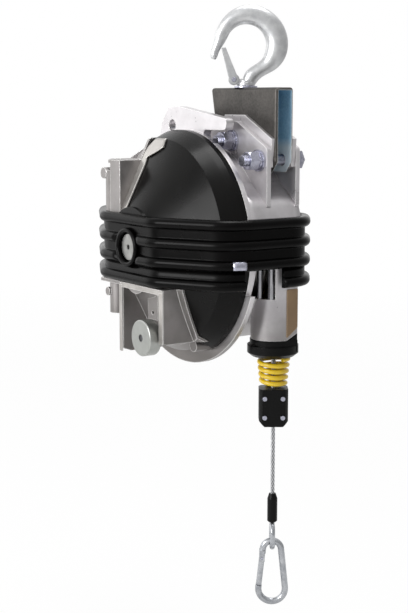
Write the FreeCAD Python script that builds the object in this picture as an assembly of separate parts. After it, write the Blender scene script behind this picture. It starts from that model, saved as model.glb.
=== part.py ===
import FreeCAD, Part
import math
import os

os.makedirs("parts", exist_ok=True)
V = FreeCAD.Vector
X_AXIS, Y_AXIS, Z_AXIS = V(1, 0, 0), V(0, 1, 0), V(0, 0, 1)

# Tool balancer. Working frame: X to the side, Y along the drum shaft (front is -Y),
# Z up, with the shaft axis through X = Z = 0 and the cover rim in the plane Y = 0.
# Everything is moved at the end, so that the saddle of the hook is the origin.

# ---- driving dimensions, mm ----
RUN = 0.3              # gap between pieces that move past each other
SEAT = 0.1             # gap between pieces bolted or pushed together
FIT = 0.05             # radial clearance of a pin or shaft in its hole

# drum and case radii: each fits in the next
SPRING_CASE_R = 93.0
SPRING_CASE_T = 4.0
FLANGE_RISE = 15.0     # drum flange over the spring case, where the lock pin meets it
DRUM_FLANGE_R = SPRING_CASE_R + FLANGE_RISE
DRUM_FLANGE_T = 3.0
CASE_GAP = 2.5
CASE_WALL = 4.5
CASE_R = DRUM_FLANGE_R + CASE_GAP + CASE_WALL
CASE_BACK_Y = 75.0
BACK_WALL = 4.0
RIM_R = CASE_R + 15.0
FLANGE_T = 6.0
SKIRT_R = RIM_R + 9.0  # wider rim at the bottom
SKIRT_TOP_Z = -47.0

# rope
ROPE_R = 2.5
ROPE_X, ROPE_Y = SPRING_CASE_R + 6.0, 55.5
GROOVE_PITCH = 6.0

# hanger, a folded steel channel bolted between the ears
HANGER_RISE = 62.0
HANGER_TOP_Z = CASE_R + HANGER_RISE
HANGER_LEFT_X, HANGER_RIGHT_X = -5.0, 121.0
HANGER_T = 3.0
HANGER_W = 24.5
HANGER_BEND = 4.0
BOLT_R = 6.0
BOLT_1 = (53.0, CASE_R + 3.5)
BOLT_2 = (103.5, CASE_R - 17.0)
WASHER_R, WASHER_T = 12.0, 2.5
NUT_H, NUT_FLATS, HEAD_H = 12.0, 19.0, 7.5
BOLT_END = 6.0         # thread past the nut

# hook and its place over the drum
HOOK_EYE_R = 22.5      # inner radius of the bowl
HOOK_SIDE_R = 12.3     # half width of the section at the back of the bowl
HOOK_CROWN_R = 10.7    # and at the saddle
HOOK_ARM_R = 7.2       # and where the bowl ends
HOOK_NOSE_R = 2.6
HOOK_NECK_R = 8.6
HOOK_FLAT = 0.82       # thickness over width
HOOK_NECK = 62.0       # saddle to the start of the round shank
HOOK_X, HOOK_Y = 48.0, 51.8
HOOK_TOP_Z = HANGER_TOP_Z + HOOK_NECK + 8.0
HOOK_TURN = 56.0       # the hook is turned on its swivel by this much
SHANK_R = 8.0
COLLAR_R = 10.0
SWIVEL_WASHER_R, SWIVEL_WASHER_T = 13.0, 2.0
LATCH_W, LATCH_T = 15.0, 2.0
LATCH_PIN_R = 2.5
LATCH_BOSS_R = 5.2
LATCH_X, LATCH_Z = HOOK_X - 13.5, HOOK_TOP_Z - 61.0

# ears and lug of the housing
EAR_T = 5.5
EAR_FRONT_Y = 30.0
EAR_RIGHT_X = 118.0
EAR_TOP_Z = CASE_R + 25.0
EAR_BEVEL_Z = CASE_R - 3.5
EAR_CORNER_R = 6.0
LUG_FRONT_Y, LUG_BACK_Y = 5.0, 15.0
LUG_HOLE_R = 7.25
LUG_HOLE_X, LUG_HOLE_Z = -33.0, CASE_R + 19.0
LUG_CORNER_R = 9.0

# rear cover and bearings
REAR_R, REAR_H, REAR_T = CASE_R - 7.0, 18.0, 3.5
REAR_RIM, REAR_RIM_T = 12.0, 6.0
REAR_SCREWS = 8
BEARING_R, BEARING_W = 17.5, 11.0
HUB_WALL = 6.0

# front covers
COVER_T = 3.0
CONE_TOP_R, CONE_TOP_Y = 45.0, -68.0
CONE_FOOT_R, CONE_FOOT_Y = RIM_R - 10.0, -29.0
RIM_FRONT_R, RIM_FRONT_Y = RIM_R - 3.0, -14.0
RIM_EDGE_Y = -7.0
HUB_STEP = 4.0
SHAFT_END_R = 15.4

# gear and lock frame on the front
FRAME_Y = -71.0
FRAME_T = 4.0
FRAME_TOP_Z = RIM_R - 34.0
EDGE_RISE = 2.2        # the frame's edge strips stand this far over the covers
TAB_TOP_Z = RIM_R - 9.0
COLUMN_R = 13.5
COLUMN_LEFT_X = -71.0
PILLAR_X = -47.0
WALL_X = -25.0
BOX_LEFT_X, BOX_RIGHT_X = -24.0, 66.0
BOX_TOP_Z, BOX_LEFT_END_Z, BOX_RIGHT_END_Z = -42.0, 7.0 - RIM_R, 27.0 - RIM_R
BOX_FLANGE_W = 7.0
FOOT_END_Z = -83.0
LOCK_BLOCK_W, LOCK_BLOCK_X, LOCK_BLOCK_Y, LOCK_BLOCK_END_Z = 21.0, 8.0, -55.0, -82.0

# worm drive
CENTRES = 56.0         # worm axis to shaft axis
WHEEL_TEETH = 30
WHEEL_R = 43.5
WHEEL_W = 12.0
WHEEL_Y = -56.0
WORM_R = CENTRES - WHEEL_R - 0.8
WORM_L = 44.0
JOURNAL_R = 7.0

# drum, shaft and power spring
SHAFT_R = 10.0
HUB_R = 26.0
TAPER = 0.2
SPRING_CASE_Y = -27.0
ARBOR_R = SHAFT_R + 8.0
STRIP_T = 1.6
SPRING_TURNS = 9

# rope guide
GUIDE_X, GUIDE_Y = ROPE_X - 1.0, 55.0
GUIDE_R = 25.5
GUIDE_WALL = 4.0
GUIDE_END_Z = -102.0
GUIDE_BACK_Y = 70.0
GUIDE_RAKE = 8.0       # the flat sides end this much higher at the back
WINDOW_LEFT, WINDOW_RIGHT = -11.0, 21.5
WINDOW_LOW_Z, WINDOW_TOP_Z = -55.0, -20.0
ROLLER_R = 3.6
RING_R = 29.0
RING_BOTTOM_Z = -122.0

# bumper, stop block and end fitting on the rope
BUMPER_TOP_R, BUMPER_END_R = 19.0, 15.8
BUMPER_WIRE_R = 2.7
BUMPER_TURNS = 4.5
BLOCK_TOP_Z, BLOCK_END_Z = -159.5, -202.5
BLOCK_W = 33.0
BLOCK_D = 27.0
SLEEVE_TOP_Z, SLEEVE_END_Z = -284.0, -318.0
SLEEVE_R = 5.8
EYE_R, EYE_WIRE_R, EYE_LONG = 10.0, 3.0, 7.0
EYE_Z = SLEEVE_END_Z - SEAT - EYE_R - EYE_WIRE_R
SNAP_WIRE_R = 3.75
SNAP_TOP_R, SNAP_BOTTOM_R, SNAP_LENGTH = 10.5, 15.5, 47.5
SNAP_Z = EYE_Z - EYE_LONG - EYE_R + EYE_WIRE_R + RUN + SNAP_WIRE_R - SNAP_TOP_R
GATE_PIN_R = 1.3

# lock knob: its pin passes outside the spring case and meets the drum flange
PLUNGER_R = 4.0
KNOB_X = 36.0
KNOB_Z = -math.sqrt((SPRING_CASE_R + FLANGE_RISE - PLUNGER_R + 0.4) ** 2 - KNOB_X ** 2)
KNOB_R, KNOB_T = 20.5, 15.0
KNOB_Y = -82.0
LOCK_TRAVEL = 8.0

# rubber bumper band
BAND_T = 4.0
BAND_GAP = 1.5
BAND_CORNER_R = 30.0
RIB_R = 6.0
RIB_PITCH = 21.7
RIBS = 4
BAND_MID_Z = -1.5
BAND_FRONT_Y = -77.5
BOSS_R = 22.0

FAR = 400.0            # reach of the blocks that only trim other shapes


def box(x0, x1, y0, y1, z0, z1):
    return Part.makeBox(x1 - x0, y1 - y0, z1 - z0, V(x0, y0, z0))


def disc(r, y0, y1, x=0.0, z=0.0):
    """A round bar along Y."""
    return Part.makeCylinder(r, y1 - y0, V(x, y0, z), Y_AXIS)


def post(r, z0, z1, x=0.0, y=0.0):
    """A round bar along Z."""
    return Part.makeCylinder(r, z1 - z0, V(x, y, z0), Z_AXIS)


def plate(points, y0, y1):
    """A plate parallel to the XZ plane with straight edges."""
    wire = Part.makePolygon([V(x, y0, z) for x, z in points] + [V(points[0][0], y0, points[0][1])])
    return Part.Face(wire).extrude(V(0, y1 - y0, 0))


def turned(points):
    """A solid turned about the shaft axis from (radius, y) points."""
    wire = Part.makePolygon([V(r, y, 0) for r, y in points] + [V(points[0][0], points[0][1], 0)])
    return Part.Face(wire).revolve(V(0, 0, 0), Y_AXIS, 360)


def hexagon(flats, y0, y1, x, z):
    r = flats / math.sqrt(3)
    corners = [(x + r * math.cos(math.pi * k / 3), z + r * math.sin(math.pi * k / 3)) for k in range(6)]
    return plate(corners, y0, y1)


def rounded(points, radius, z):
    """A closed wire at height z through (x, y) corners, each rounded to the radius."""
    n = len(points)
    ends, edges = [], []
    for i in range(n):
        before, corner, after = (V(*points[(i + k) % n], z) for k in (-1, 0, 1))
        a, b = (before - corner).normalize(), (after - corner).normalize()
        half = a.getAngle(b) / 2
        reach = radius / math.tan(half)
        bisector = (a + b).normalize()
        centre = corner + bisector * (radius / math.sin(half))
        ends.append((corner + a * reach, centre - bisector * radius, corner + b * reach))
    for i in range(n):
        start, middle, end = ends[i]
        edges.append(Part.Arc(start, middle, end).toShape())
        edges.append(Part.LineSegment(end, ends[(i + 1) % n][0]).toShape())
    return Part.Wire(edges)


def rounded_plate(points, radius, y0, y1):
    """A plate parallel to the XZ plane with rounded corners."""
    shape = Part.Face(rounded(points, radius, 0)).extrude(V(0, 0, y1 - y0))
    shape.rotate(V(0, 0, 0), X_AXIS, 90)
    shape.translate(V(0, y1, 0))
    return shape


def in_hook_plane(shape, x, y):
    """Turn a shape drawn in the XZ plane about the vertical axis through (x, y)."""
    shape.rotate(V(x, y, 0), Z_AXIS, HOOK_TURN)
    return shape


nodes = {}


def keep(name, shape):
    """Move a finished piece to the row frame and remember it."""
    if shape.ShapeType == "Compound" and len(shape.Solids) == 1:
        shape = shape.Solids[0]
    shape = shape.copy()
    shape.translate(V(-HOOK_X, -HOOK_Y, -HOOK_TOP_Z))
    nodes[name] = shape


# ---- hook, latch and swivel ----
def hook_section(u, z, direction, r):
    """An oval section across the hook at (u, z), where direction is its angle in degrees."""
    a = math.radians(direction)
    centre = V(HOOK_X + u, HOOK_Y, HOOK_TOP_Z + z)
    across = V(-math.sin(a), 0, math.cos(a))
    return Part.Wire(Part.Ellipse(centre - across * r, centre + Y_AXIS * r * HOOK_FLAT, centre).toShape())


def bowl_section(angle, r):
    """A section of the bowl: its inner side always lies on the eye's circle."""
    a, reach = math.radians(angle), HOOK_EYE_R + r
    return hook_section(reach * math.cos(a), reach * math.sin(a) - HOOK_EYE_R, angle + 90, r)


def make_hook():
    low = -HOOK_NECK
    sections = [hook_section(1, low - 5, 90, HOOK_NECK_R + 0.4),
                hook_section(6.8, low + 4.8, 62, HOOK_NECK_R),
                hook_section(16.6, low + 12.2, 57, HOOK_NECK_R + 0.4),
                hook_section(25.7, low + 18.2, 58, HOOK_NECK_R + 1.2)]
    bowl = [(-18, HOOK_SIDE_R - 0.5), (0, HOOK_SIDE_R), (30, HOOK_SIDE_R - 0.2),
            (60, (HOOK_SIDE_R + HOOK_CROWN_R) / 2), (90, HOOK_CROWN_R), (120, (HOOK_CROWN_R + HOOK_ARM_R) / 2),
            (145, HOOK_ARM_R + 0.4), (160, HOOK_ARM_R)]
    sections += [bowl_section(angle, r) for angle, r in bowl]
    arm = HOOK_EYE_R + HOOK_ARM_R
    sections += [hook_section(-arm - 1.5, -HOOK_EYE_R + 1, 248, HOOK_ARM_R * 0.74),
                 hook_section(-arm - 4.2, -HOOK_EYE_R - 4.5, 252, HOOK_ARM_R * 0.64),
                 hook_section(-arm - 6.3, -HOOK_EYE_R - 11.5, 252, HOOK_ARM_R * 0.56),
                 hook_section(-arm - 7.5, -HOOK_EYE_R - 15.5, 250, HOOK_NOSE_R)]
    body = Part.makeLoft(sections, True, False)
    shank = post(SHANK_R, HANGER_TOP_Z - 20, HOOK_TOP_Z - HOOK_NECK, HOOK_X, HOOK_Y)
    collar = post(COLLAR_R, HANGER_TOP_Z + SWIVEL_WASHER_T + RUN, LATCH_Z - 3, HOOK_X, HOOK_Y)
    inner_w = LATCH_W - 2 * LATCH_T - 2 * RUN
    cheek = Part.makeCylinder(LATCH_BOSS_R + 1, inner_w, V(LATCH_X, HOOK_Y - inner_w / 2, LATCH_Z), Y_AXIS)
    web = box(LATCH_X, HOOK_X, HOOK_Y - inner_w / 2, HOOK_Y + inner_w / 2, LATCH_Z - LATCH_BOSS_R, LATCH_Z + 1)
    hook = body.fuse([shank, collar, cheek, web]).removeSplitter()
    return hook.cut(latch_hole())


def latch_hole():
    return Part.makeCylinder(LATCH_PIN_R + FIT, 40, V(LATCH_X, HOOK_Y - 20, LATCH_Z), Y_AXIS)


def make_latch():
    """A folded latch: two cheeks on the pin and a web that closes the throat."""
    tip_x, tip_z = HOOK_X - HOOK_EYE_R - 5.2, HOOK_TOP_Z - HOOK_EYE_R - 3.5
    y0, y1 = HOOK_Y - LATCH_W / 2, HOOK_Y + LATCH_W / 2
    side = [(LATCH_X - LATCH_BOSS_R, LATCH_Z), (LATCH_X - 3, LATCH_Z - 3), (LATCH_X + 3, LATCH_Z - 3),
            (LATCH_X + LATCH_BOSS_R - 0.6, LATCH_Z + 1.5), (tip_x + 4.6, tip_z + 0.5), (tip_x, tip_z)]
    boss = Part.makeCylinder(LATCH_BOSS_R, LATCH_W, V(LATCH_X, y0, LATCH_Z), Y_AXIS)
    whole = plate(side, y0, y1).fuse(boss).removeSplitter()
    reach = LATCH_BOSS_R + 1 + 2 * RUN
    inside = [(LATCH_X - 20, LATCH_Z - 20), (LATCH_X + 20, LATCH_Z - 20), (LATCH_X + 20, tip_z + 10),
              (tip_x + LATCH_T + 1.2, tip_z + 10), (tip_x + LATCH_T + 1.2, tip_z),
              (LATCH_X - LATCH_BOSS_R + LATCH_T, LATCH_Z + reach), (LATCH_X - 20, LATCH_Z + reach)]
    return whole.cut(plate(inside, y0 + LATCH_T, y1 - LATCH_T)).cut(latch_hole())


hook = make_hook()
keep("suspension_hook", in_hook_plane(hook, HOOK_X, HOOK_Y))
latch = make_latch()
keep("hook_latch", in_hook_plane(latch, HOOK_X, HOOK_Y))
pin = Part.makeCylinder(LATCH_PIN_R, LATCH_W + 4, V(LATCH_X, HOOK_Y - LATCH_W / 2 - 2, LATCH_Z), Y_AXIS)
keep("latch_pin", in_hook_plane(pin, HOOK_X, HOOK_Y))

shank_hole = post(SHANK_R + FIT, HANGER_TOP_Z - 60, HANGER_TOP_Z + 20, HOOK_X, HOOK_Y)
washer_top_z = HANGER_TOP_Z + SWIVEL_WASHER_T
keep("swivel_washer", post(SWIVEL_WASHER_R, HANGER_TOP_Z + SEAT, washer_top_z, HOOK_X, HOOK_Y).cut(shank_hole))
nut_top_z = HANGER_TOP_Z - HANGER_T - RUN
hook_nut = post(HANGER_W / 2 - HANGER_T - 0.5, nut_top_z - 14, nut_top_z, HOOK_X, HOOK_Y)
keep("hook_nut", hook_nut.cut(post(SHANK_R, nut_top_z - 20, nut_top_z + 20, HOOK_X, HOOK_Y)))

# ---- hanger, spacers and bolts ----
hanger_y0, hanger_y1 = HOOK_Y - HANGER_W / 2, HOOK_Y + HANGER_W / 2
low_1, low_2 = BOLT_1[1] - NUT_FLATS / 2, BOLT_2[1] - NUT_FLATS / 2 - 4
hanger_side = [(HANGER_LEFT_X, HANGER_TOP_Z), (HANGER_LEFT_X + 6, HANGER_TOP_Z - 30),
               (HANGER_LEFT_X + 14, HANGER_TOP_Z - 34), (BOLT_1[0] - 12, low_1 + 3), (BOLT_1[0] + 10, low_1),
               (BOLT_2[0] - 14, low_2), (HANGER_RIGHT_X - 10, low_2), (HANGER_RIGHT_X, low_2 + 12),
               (HANGER_RIGHT_X, HANGER_TOP_Z)]
hanger = rounded_plate(hanger_side, 3, hanger_y0, hanger_y1)
long_edges = [e for e in hanger.Edges if e.Length > 100 and abs(e.CenterOfMass.z - HANGER_TOP_Z) < 1e-3]
hanger = hanger.makeFillet(HANGER_BEND, long_edges)
channel = [(-FAR, -FAR), (FAR, -FAR), (FAR, HANGER_TOP_Z - HANGER_T), (-FAR, HANGER_TOP_Z - HANGER_T)]
hanger = hanger.cut(plate(channel, hanger_y0 + HANGER_T, hanger_y1 - HANGER_T))
bolt_holes = [disc(BOLT_R + 0.5, EAR_FRONT_Y - 30, CASE_BACK_Y + 30, *at) for at in (BOLT_1, BOLT_2)]
keep("hanger_bracket", hanger.cut([shank_hole] + bolt_holes))

ear_outline = [(-15, CASE_R - 8), (-15, EAR_TOP_Z - 3), (-5, EAR_TOP_Z), (61, EAR_TOP_Z),
               (EAR_RIGHT_X, EAR_BEVEL_Z), (EAR_RIGHT_X, 40)]
spacer_outline = [(22, BOLT_1[1] + 10), (BOLT_1[0] - 12, BOLT_1[1] - 7), (60, BOLT_1[1] - 12),
                  (BOLT_2[0] - 15, BOLT_2[1] - 13), (HANGER_RIGHT_X - 5, BOLT_2[1] - 7),
                  (HANGER_RIGHT_X - 2, EAR_BEVEL_Z + 10), (68, EAR_TOP_Z + 7), (30, EAR_TOP_Z + 7)]
ear_back_y = CASE_BACK_Y - EAR_T
front_spacer = plate(spacer_outline, EAR_FRONT_Y + EAR_T + SEAT, hanger_y0 - SEAT)
rear_spacer = plate(spacer_outline, hanger_y1 + SEAT, ear_back_y - SEAT)
keep("front_spacer", front_spacer.cut(bolt_holes))
keep("rear_spacer", rear_spacer.cut(bolt_holes))

bolts, nuts, washers = [], [], []
for at in (BOLT_1, BOLT_2):
    front_y = EAR_FRONT_Y - 2 * WASHER_T - NUT_H - 4 * SEAT
    back_y = CASE_BACK_Y + WASHER_T + 2 * SEAT
    head = hexagon(NUT_FLATS, back_y, back_y + HEAD_H, *at)
    bolts.append(disc(BOLT_R, front_y - BOLT_END, back_y, *at).fuse(head))
    bore = disc(BOLT_R, -FAR, FAR, *at)
    corners = NUT_FLATS / 1.73
    shape = turned([(0, 0), (NUT_FLATS / 2, 0), (corners, 3), (corners, NUT_H), (0, NUT_H)])
    nut = hexagon(NUT_FLATS, front_y, front_y + NUT_H, *at).common(shape.translated(V(at[0], front_y, at[1])))
    nuts.append(nut.cut(bore))
    front_washers = [EAR_FRONT_Y - k * (WASHER_T + SEAT) for k in (1, 2)]
    for y, r in zip(front_washers + [CASE_BACK_Y + SEAT], (WASHER_R, WASHER_R - 1.5, WASHER_R)):
        washers.append(disc(r, y, y + WASHER_T, *at).cut(disc(BOLT_R + 0.4, y - 1, y + WASHER_T + 1, *at)))
keep("hanger_bolts", Part.makeCompound(bolts))
keep("hanger_nuts", Part.makeCompound(nuts))
keep("hanger_washers", Part.makeCompound(washers))

# ---- housing casting ----
def guide_section(r, back_y, z0, z1):
    """A U-shaped bar along Z: a half round to the front and flat sides to the back."""
    front = box(GUIDE_X - r, GUIDE_X + r, GUIDE_Y - r, GUIDE_Y, z0, z1)
    flat = box(GUIDE_X - r, GUIDE_X + r, GUIDE_Y, back_y, z0, z1)
    return post(r, z0, z1, GUIDE_X, GUIDE_Y).common(front).fuse(flat).removeSplitter()


def guide_rake(drop):
    """The wedge that the raked lower ends of the flat sides leave free."""
    low = GUIDE_END_Z - drop
    back_y = GUIDE_BACK_Y + 10
    corners = [(GUIDE_Y, low), (back_y, low + GUIDE_RAKE * 1.6), (back_y, low - FAR), (GUIDE_Y, low)]
    return Part.Face(Part.makePolygon([V(0, y, z) for y, z in corners])).extrude(V(FAR, 0, 0))


def make_housing():
    outer = disc(CASE_R, 0, CASE_BACK_Y)
    shoulder = plate([(64, 86), (EAR_RIGHT_X, 38), (EAR_RIGHT_X, -16), (90, -16), (40, 60)], 4, GUIDE_BACK_Y)
    flange = disc(RIM_R, 0, FLANGE_T)
    skirt = disc(SKIRT_R, 0, FLANGE_T).common(box(-SKIRT_R, SKIRT_R, 0, FLANGE_T, -SKIRT_R, SKIRT_TOP_Z))
    guide = guide_section(GUIDE_R, GUIDE_BACK_Y, GUIDE_END_Z, -10).cut(guide_rake(0))
    ears = [rounded_plate(ear_outline, EAR_CORNER_R, EAR_FRONT_Y, EAR_FRONT_Y + EAR_T),
            rounded_plate(ear_outline, EAR_CORNER_R, ear_back_y, CASE_BACK_Y)]
    top = LUG_HOLE_Z + LUG_HOLE_R + 15
    lug_outline = [(-68, 90), (-56, LUG_HOLE_Z + 2), (-42, top - 2), (-18, top),
                   (BOLT_1[0] + 24, EAR_TOP_Z + 3), (BOLT_1[0] + 22, EAR_TOP_Z - 9.5), (32, EAR_TOP_Z - 9.5),
                   (30, 96)]
    lug = rounded_plate(lug_outline, 5, LUG_FRONT_Y, LUG_BACK_Y)
    whole = outer.fuse([shoulder, flange, skirt, guide, lug] + ears).removeSplitter()
    inner_r = CASE_R - CASE_WALL
    cavity = disc(inner_r, -1, CASE_BACK_Y - BACK_WALL)
    guide_bore = guide_section(GUIDE_R - GUIDE_WALL, GUIDE_BACK_Y - GUIDE_WALL, GUIDE_END_Z - 1, 20)
    window = box(GUIDE_X + WINDOW_LEFT, GUIDE_X + WINDOW_RIGHT, 20, GUIDE_Y - 8, WINDOW_LOW_Z, WINDOW_TOP_Z)
    hub_hole = disc(BEARING_R + HUB_WALL + RUN, CASE_BACK_Y - BACK_WALL - 1, CASE_BACK_Y + 1)
    lug_hole = disc(LUG_HOLE_R, 0, 30, LUG_HOLE_X, LUG_HOLE_Z)
    return whole.cut([cavity, guide_bore, window, hub_hole, lug_hole] + bolt_holes)


keep("drum_housing", make_housing())

# ---- rear cover with the rear bearing seat ----
rear_y = CASE_BACK_Y + SEAT
shaft_back_y = CASE_BACK_Y + REAR_H - REAR_T - 1
rear = turned([(0, rear_y), (REAR_R, rear_y), (REAR_R, rear_y + REAR_RIM_T),
               (REAR_R - REAR_RIM, rear_y + REAR_RIM_T),
               (REAR_R - REAR_RIM - REAR_H + REAR_RIM_T, rear_y + REAR_H), (0, rear_y + REAR_H)])
rear = rear.cut(turned([(0, rear_y - 1), (REAR_R - REAR_RIM - REAR_T, rear_y - 1),
                        (REAR_R - REAR_RIM - REAR_T, rear_y + REAR_RIM_T - REAR_T),
                        (REAR_R - REAR_RIM - REAR_H, rear_y + REAR_H - REAR_T), (0, rear_y + REAR_H - REAR_T)]))
rear = rear.fuse(disc(BEARING_R + HUB_WALL, CASE_BACK_Y - BACK_WALL, rear_y + REAR_H))
rear = rear.cut([disc(BEARING_R + FIT, CASE_BACK_Y - BACK_WALL - 1, CASE_BACK_Y - BACK_WALL + BEARING_W),
                 disc(SHAFT_R + RUN, CASE_BACK_Y - BACK_WALL, shaft_back_y + RUN)])
rear_holes = []
screw_circle = REAR_R - REAR_RIM / 2
for k in range(REAR_SCREWS):
    a = 2 * math.pi * (k + 0.5) / REAR_SCREWS
    rear_holes.append((screw_circle * math.cos(a), screw_circle * math.sin(a)))
keep("rear_cover", rear)
keep("rear_cover_screws", Part.makeCompound(
    [hexagon(8, rear_y + REAR_RIM_T + SEAT, rear_y + REAR_RIM_T + 5, x, z) for x, z in rear_holes]))

# ---- front covers, parted by the gear frame ----
dome_out = [(0, CONE_TOP_Y - HUB_STEP), (CONE_TOP_R, CONE_TOP_Y - HUB_STEP), (CONE_TOP_R, CONE_TOP_Y),
            (CONE_FOOT_R, CONE_FOOT_Y), (RIM_FRONT_R, RIM_FRONT_Y), (RIM_R, RIM_EDGE_Y), (RIM_R, -SEAT),
            (0, -SEAT)]
dome_in = [(0, CONE_TOP_Y - HUB_STEP + COVER_T), (CONE_TOP_R - COVER_T, CONE_TOP_Y - HUB_STEP + COVER_T),
           (CONE_TOP_R - COVER_T, CONE_TOP_Y + COVER_T), (CONE_FOOT_R - COVER_T, CONE_FOOT_Y + COVER_T),
           (RIM_FRONT_R - COVER_T, RIM_FRONT_Y), (RIM_R - COVER_T, RIM_EDGE_Y), (RIM_R - COVER_T, 1), (0, 1)]
dome = turned(dome_out).cut(turned(dome_in))
dome = dome.cut(disc(SHAFT_END_R + 1, -FAR, 0))
right_side = box(WALL_X + SEAT, FAR, -FAR, 1, BOX_TOP_Z + SEAT, FAR)
right_side = right_side.fuse(box(BOX_RIGHT_X + SEAT, FAR, -FAR, 1, -FAR, FAR))
left_side = box(-FAR, COLUMN_LEFT_X - SEAT, -FAR, 1, -FAR, FAR)
keep("front_cover_right", dome.common(right_side))
keep("front_cover_left", dome.common(left_side))

# ---- gear and lock frame ----
def cone_shell(drop, wall, x0, x1, z0, z1):
    """A piece of the cone, drop under the covers' outer face, between the given X and Z."""
    foot_r, rim_r = CONE_FOOT_R - drop, RIM_FRONT_R - drop
    top_r = CONE_TOP_R - drop / 2
    skin = turned([(0, CONE_TOP_Y + drop), (top_r, CONE_TOP_Y + drop), (foot_r, CONE_FOOT_Y + drop),
                   (rim_r, RIM_FRONT_Y), (rim_r, -SEAT), (0, -SEAT)])
    inner = drop + wall
    core = turned([(0, CONE_TOP_Y + inner), (top_r, CONE_TOP_Y + inner), (foot_r - wall, CONE_FOOT_Y + inner),
                   (rim_r - wall, RIM_FRONT_Y), (rim_r - wall, 1), (0, 1)])
    return skin.cut(core).common(box(x0, x1, -FAR, 1, z0, z1))


def make_frame():
    inside = COVER_T + 1
    strip = cone_shell(inside, FRAME_T, COLUMN_LEFT_X - 8, WALL_X + 8, -FAR, FAR)
    floor = cone_shell(inside, FRAME_T, WALL_X, BOX_RIGHT_X + 8, -FAR, BOX_TOP_Z + 8)
    under_cone = turned([(0, -95), (60, -95), (CONE_FOOT_R, CONE_FOOT_Y - 45), (RIM_R - 5, -60), (RIM_R - 5, 0),
                         (CONE_FOOT_R, CONE_FOOT_Y + inside + 2), (CONE_TOP_R, CONE_TOP_Y + inside + 2),
                         (0, CONE_TOP_Y + inside + 2)])
    # outside the lid of the cone: plates that stand on the strip and the floor
    wall = box(WALL_X - FRAME_T, WALL_X, FRAME_Y, 0, -40, FRAME_TOP_Z)
    pillar = box(PILLAR_X, PILLAR_X + FRAME_T, FRAME_Y, 0, -40, FRAME_TOP_Z)
    front = box(PILLAR_X, WALL_X, FRAME_Y, FRAME_Y + FRAME_T, -40, FRAME_TOP_Z)
    left = box(COLUMN_LEFT_X, COLUMN_LEFT_X + FRAME_T, WHEEL_Y, 0, -80, FRAME_TOP_Z)
    box_left = box(BOX_LEFT_X, BOX_LEFT_X + FRAME_T, FRAME_Y, 0, BOX_LEFT_END_Z, BOX_TOP_Z)
    box_right = box(BOX_RIGHT_X - FRAME_T, BOX_RIGHT_X, FRAME_Y, 0, BOX_RIGHT_END_Z, BOX_TOP_Z)
    box_top = box(COLUMN_LEFT_X, BOX_RIGHT_X, FRAME_Y, 0, BOX_TOP_Z - FRAME_T, BOX_TOP_Z)
    lip = box(BOX_LEFT_X - 3, BOX_LEFT_X, FRAME_Y - 1, FRAME_Y + 10, BOX_LEFT_END_Z + 22, BOX_TOP_Z)
    bow = disc(25.5, FRAME_Y, FRAME_Y + FRAME_T, 7, BOX_TOP_Z + 15)
    bow = bow.common(box(-FAR, FAR, -FAR, 0, -FAR, BOX_TOP_Z - 1))
    block_right = LOCK_BLOCK_X + LOCK_BLOCK_W
    lock_block = box(LOCK_BLOCK_X, block_right, LOCK_BLOCK_Y, 0, LOCK_BLOCK_END_Z, BOX_TOP_Z - 1)
    corner = [(COLUMN_LEFT_X, 0), (COLUMN_LEFT_X, WHEEL_Y), (PILLAR_X - 4, FRAME_Y), (WALL_X, FRAME_Y),
              (WALL_X, 0)]
    lid = Part.makePolygon([V(x, y, FRAME_TOP_Z - FRAME_T) for x, y in corner + corner[:1]])
    top = Part.Face(lid).extrude(V(0, 0, FRAME_T))
    walls = wall.fuse([pillar, front, top, left, box_left, box_right, box_top, lip, bow, lock_block])
    walls = walls.common(under_cone)
    # edge strips that stand over the covers: along the right cover, its tab, and beside the lock box
    edge = cone_shell(-EDGE_RISE, EDGE_RISE + inside + 1, WALL_X - FRAME_T, WALL_X, 0, TAB_TOP_Z)
    edge = edge.common(box(-FAR, FAR, -FAR, RIM_EDGE_Y, 0, TAB_TOP_Z))
    beside = cone_shell(-EDGE_RISE, EDGE_RISE - SEAT, BOX_RIGHT_X - 1, BOX_RIGHT_X + BOX_FLANGE_W,
                        BOX_RIGHT_END_Z, BOX_TOP_Z)
    column = post(COLUMN_R, -45, FRAME_TOP_Z - 12, -CENTRES, WHEEL_Y)
    foot = post(JOURNAL_R + 3, FOOT_END_Z, -40, -CENTRES, WHEEL_Y)
    bosses = [disc(6.5, FRAME_Y + 1, WHEEL_Y, -64.4, 80), disc(5, FRAME_Y + 3, WHEEL_Y, -61, -58),
              disc(7, CONE_FOOT_Y + 5, -2, 54, 20 - RIM_R),
              disc(CONE_TOP_R - COVER_T - 1, CONE_TOP_Y, CONE_TOP_Y + 4)]
    frame = strip.fuse([floor, walls, edge, beside, column, foot] + bosses).removeSplitter()
    wheel_room = disc(WHEEL_R + 2, WHEEL_Y - WHEEL_W / 2 - 1.5, WHEEL_Y + 60)
    worm_room = post(WORM_R + 1.2, -WORM_L / 2 - 1, WORM_L / 2 + 1, -CENTRES, WHEEL_Y)
    journal = post(JOURNAL_R + FIT, FOOT_END_Z + FRAME_T, FRAME_TOP_Z, -CENTRES, WHEEL_Y)
    head_room = post(COLUMN_R - 3, FRAME_TOP_Z - 30, FRAME_TOP_Z - 11, -CENTRES, WHEEL_Y)
    plunger_hole = disc(PLUNGER_R + FIT, -FAR, 10, KNOB_X, KNOB_Z)
    block_hole = disc(2.2, LOCK_BLOCK_Y - 1, LOCK_BLOCK_Y + 12, LOCK_BLOCK_X + LOCK_BLOCK_W / 2,
                      LOCK_BLOCK_END_Z + 8)
    shaft_hole = disc(SHAFT_R + FIT, -FAR, 10)
    return frame.cut([wheel_room, worm_room, journal, head_room, plunger_hole, block_hole, shaft_hole,
                      disc(SHAFT_END_R + 1, -FAR, CONE_TOP_Y - 0.5)])


keep("gear_frame", make_frame())

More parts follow.
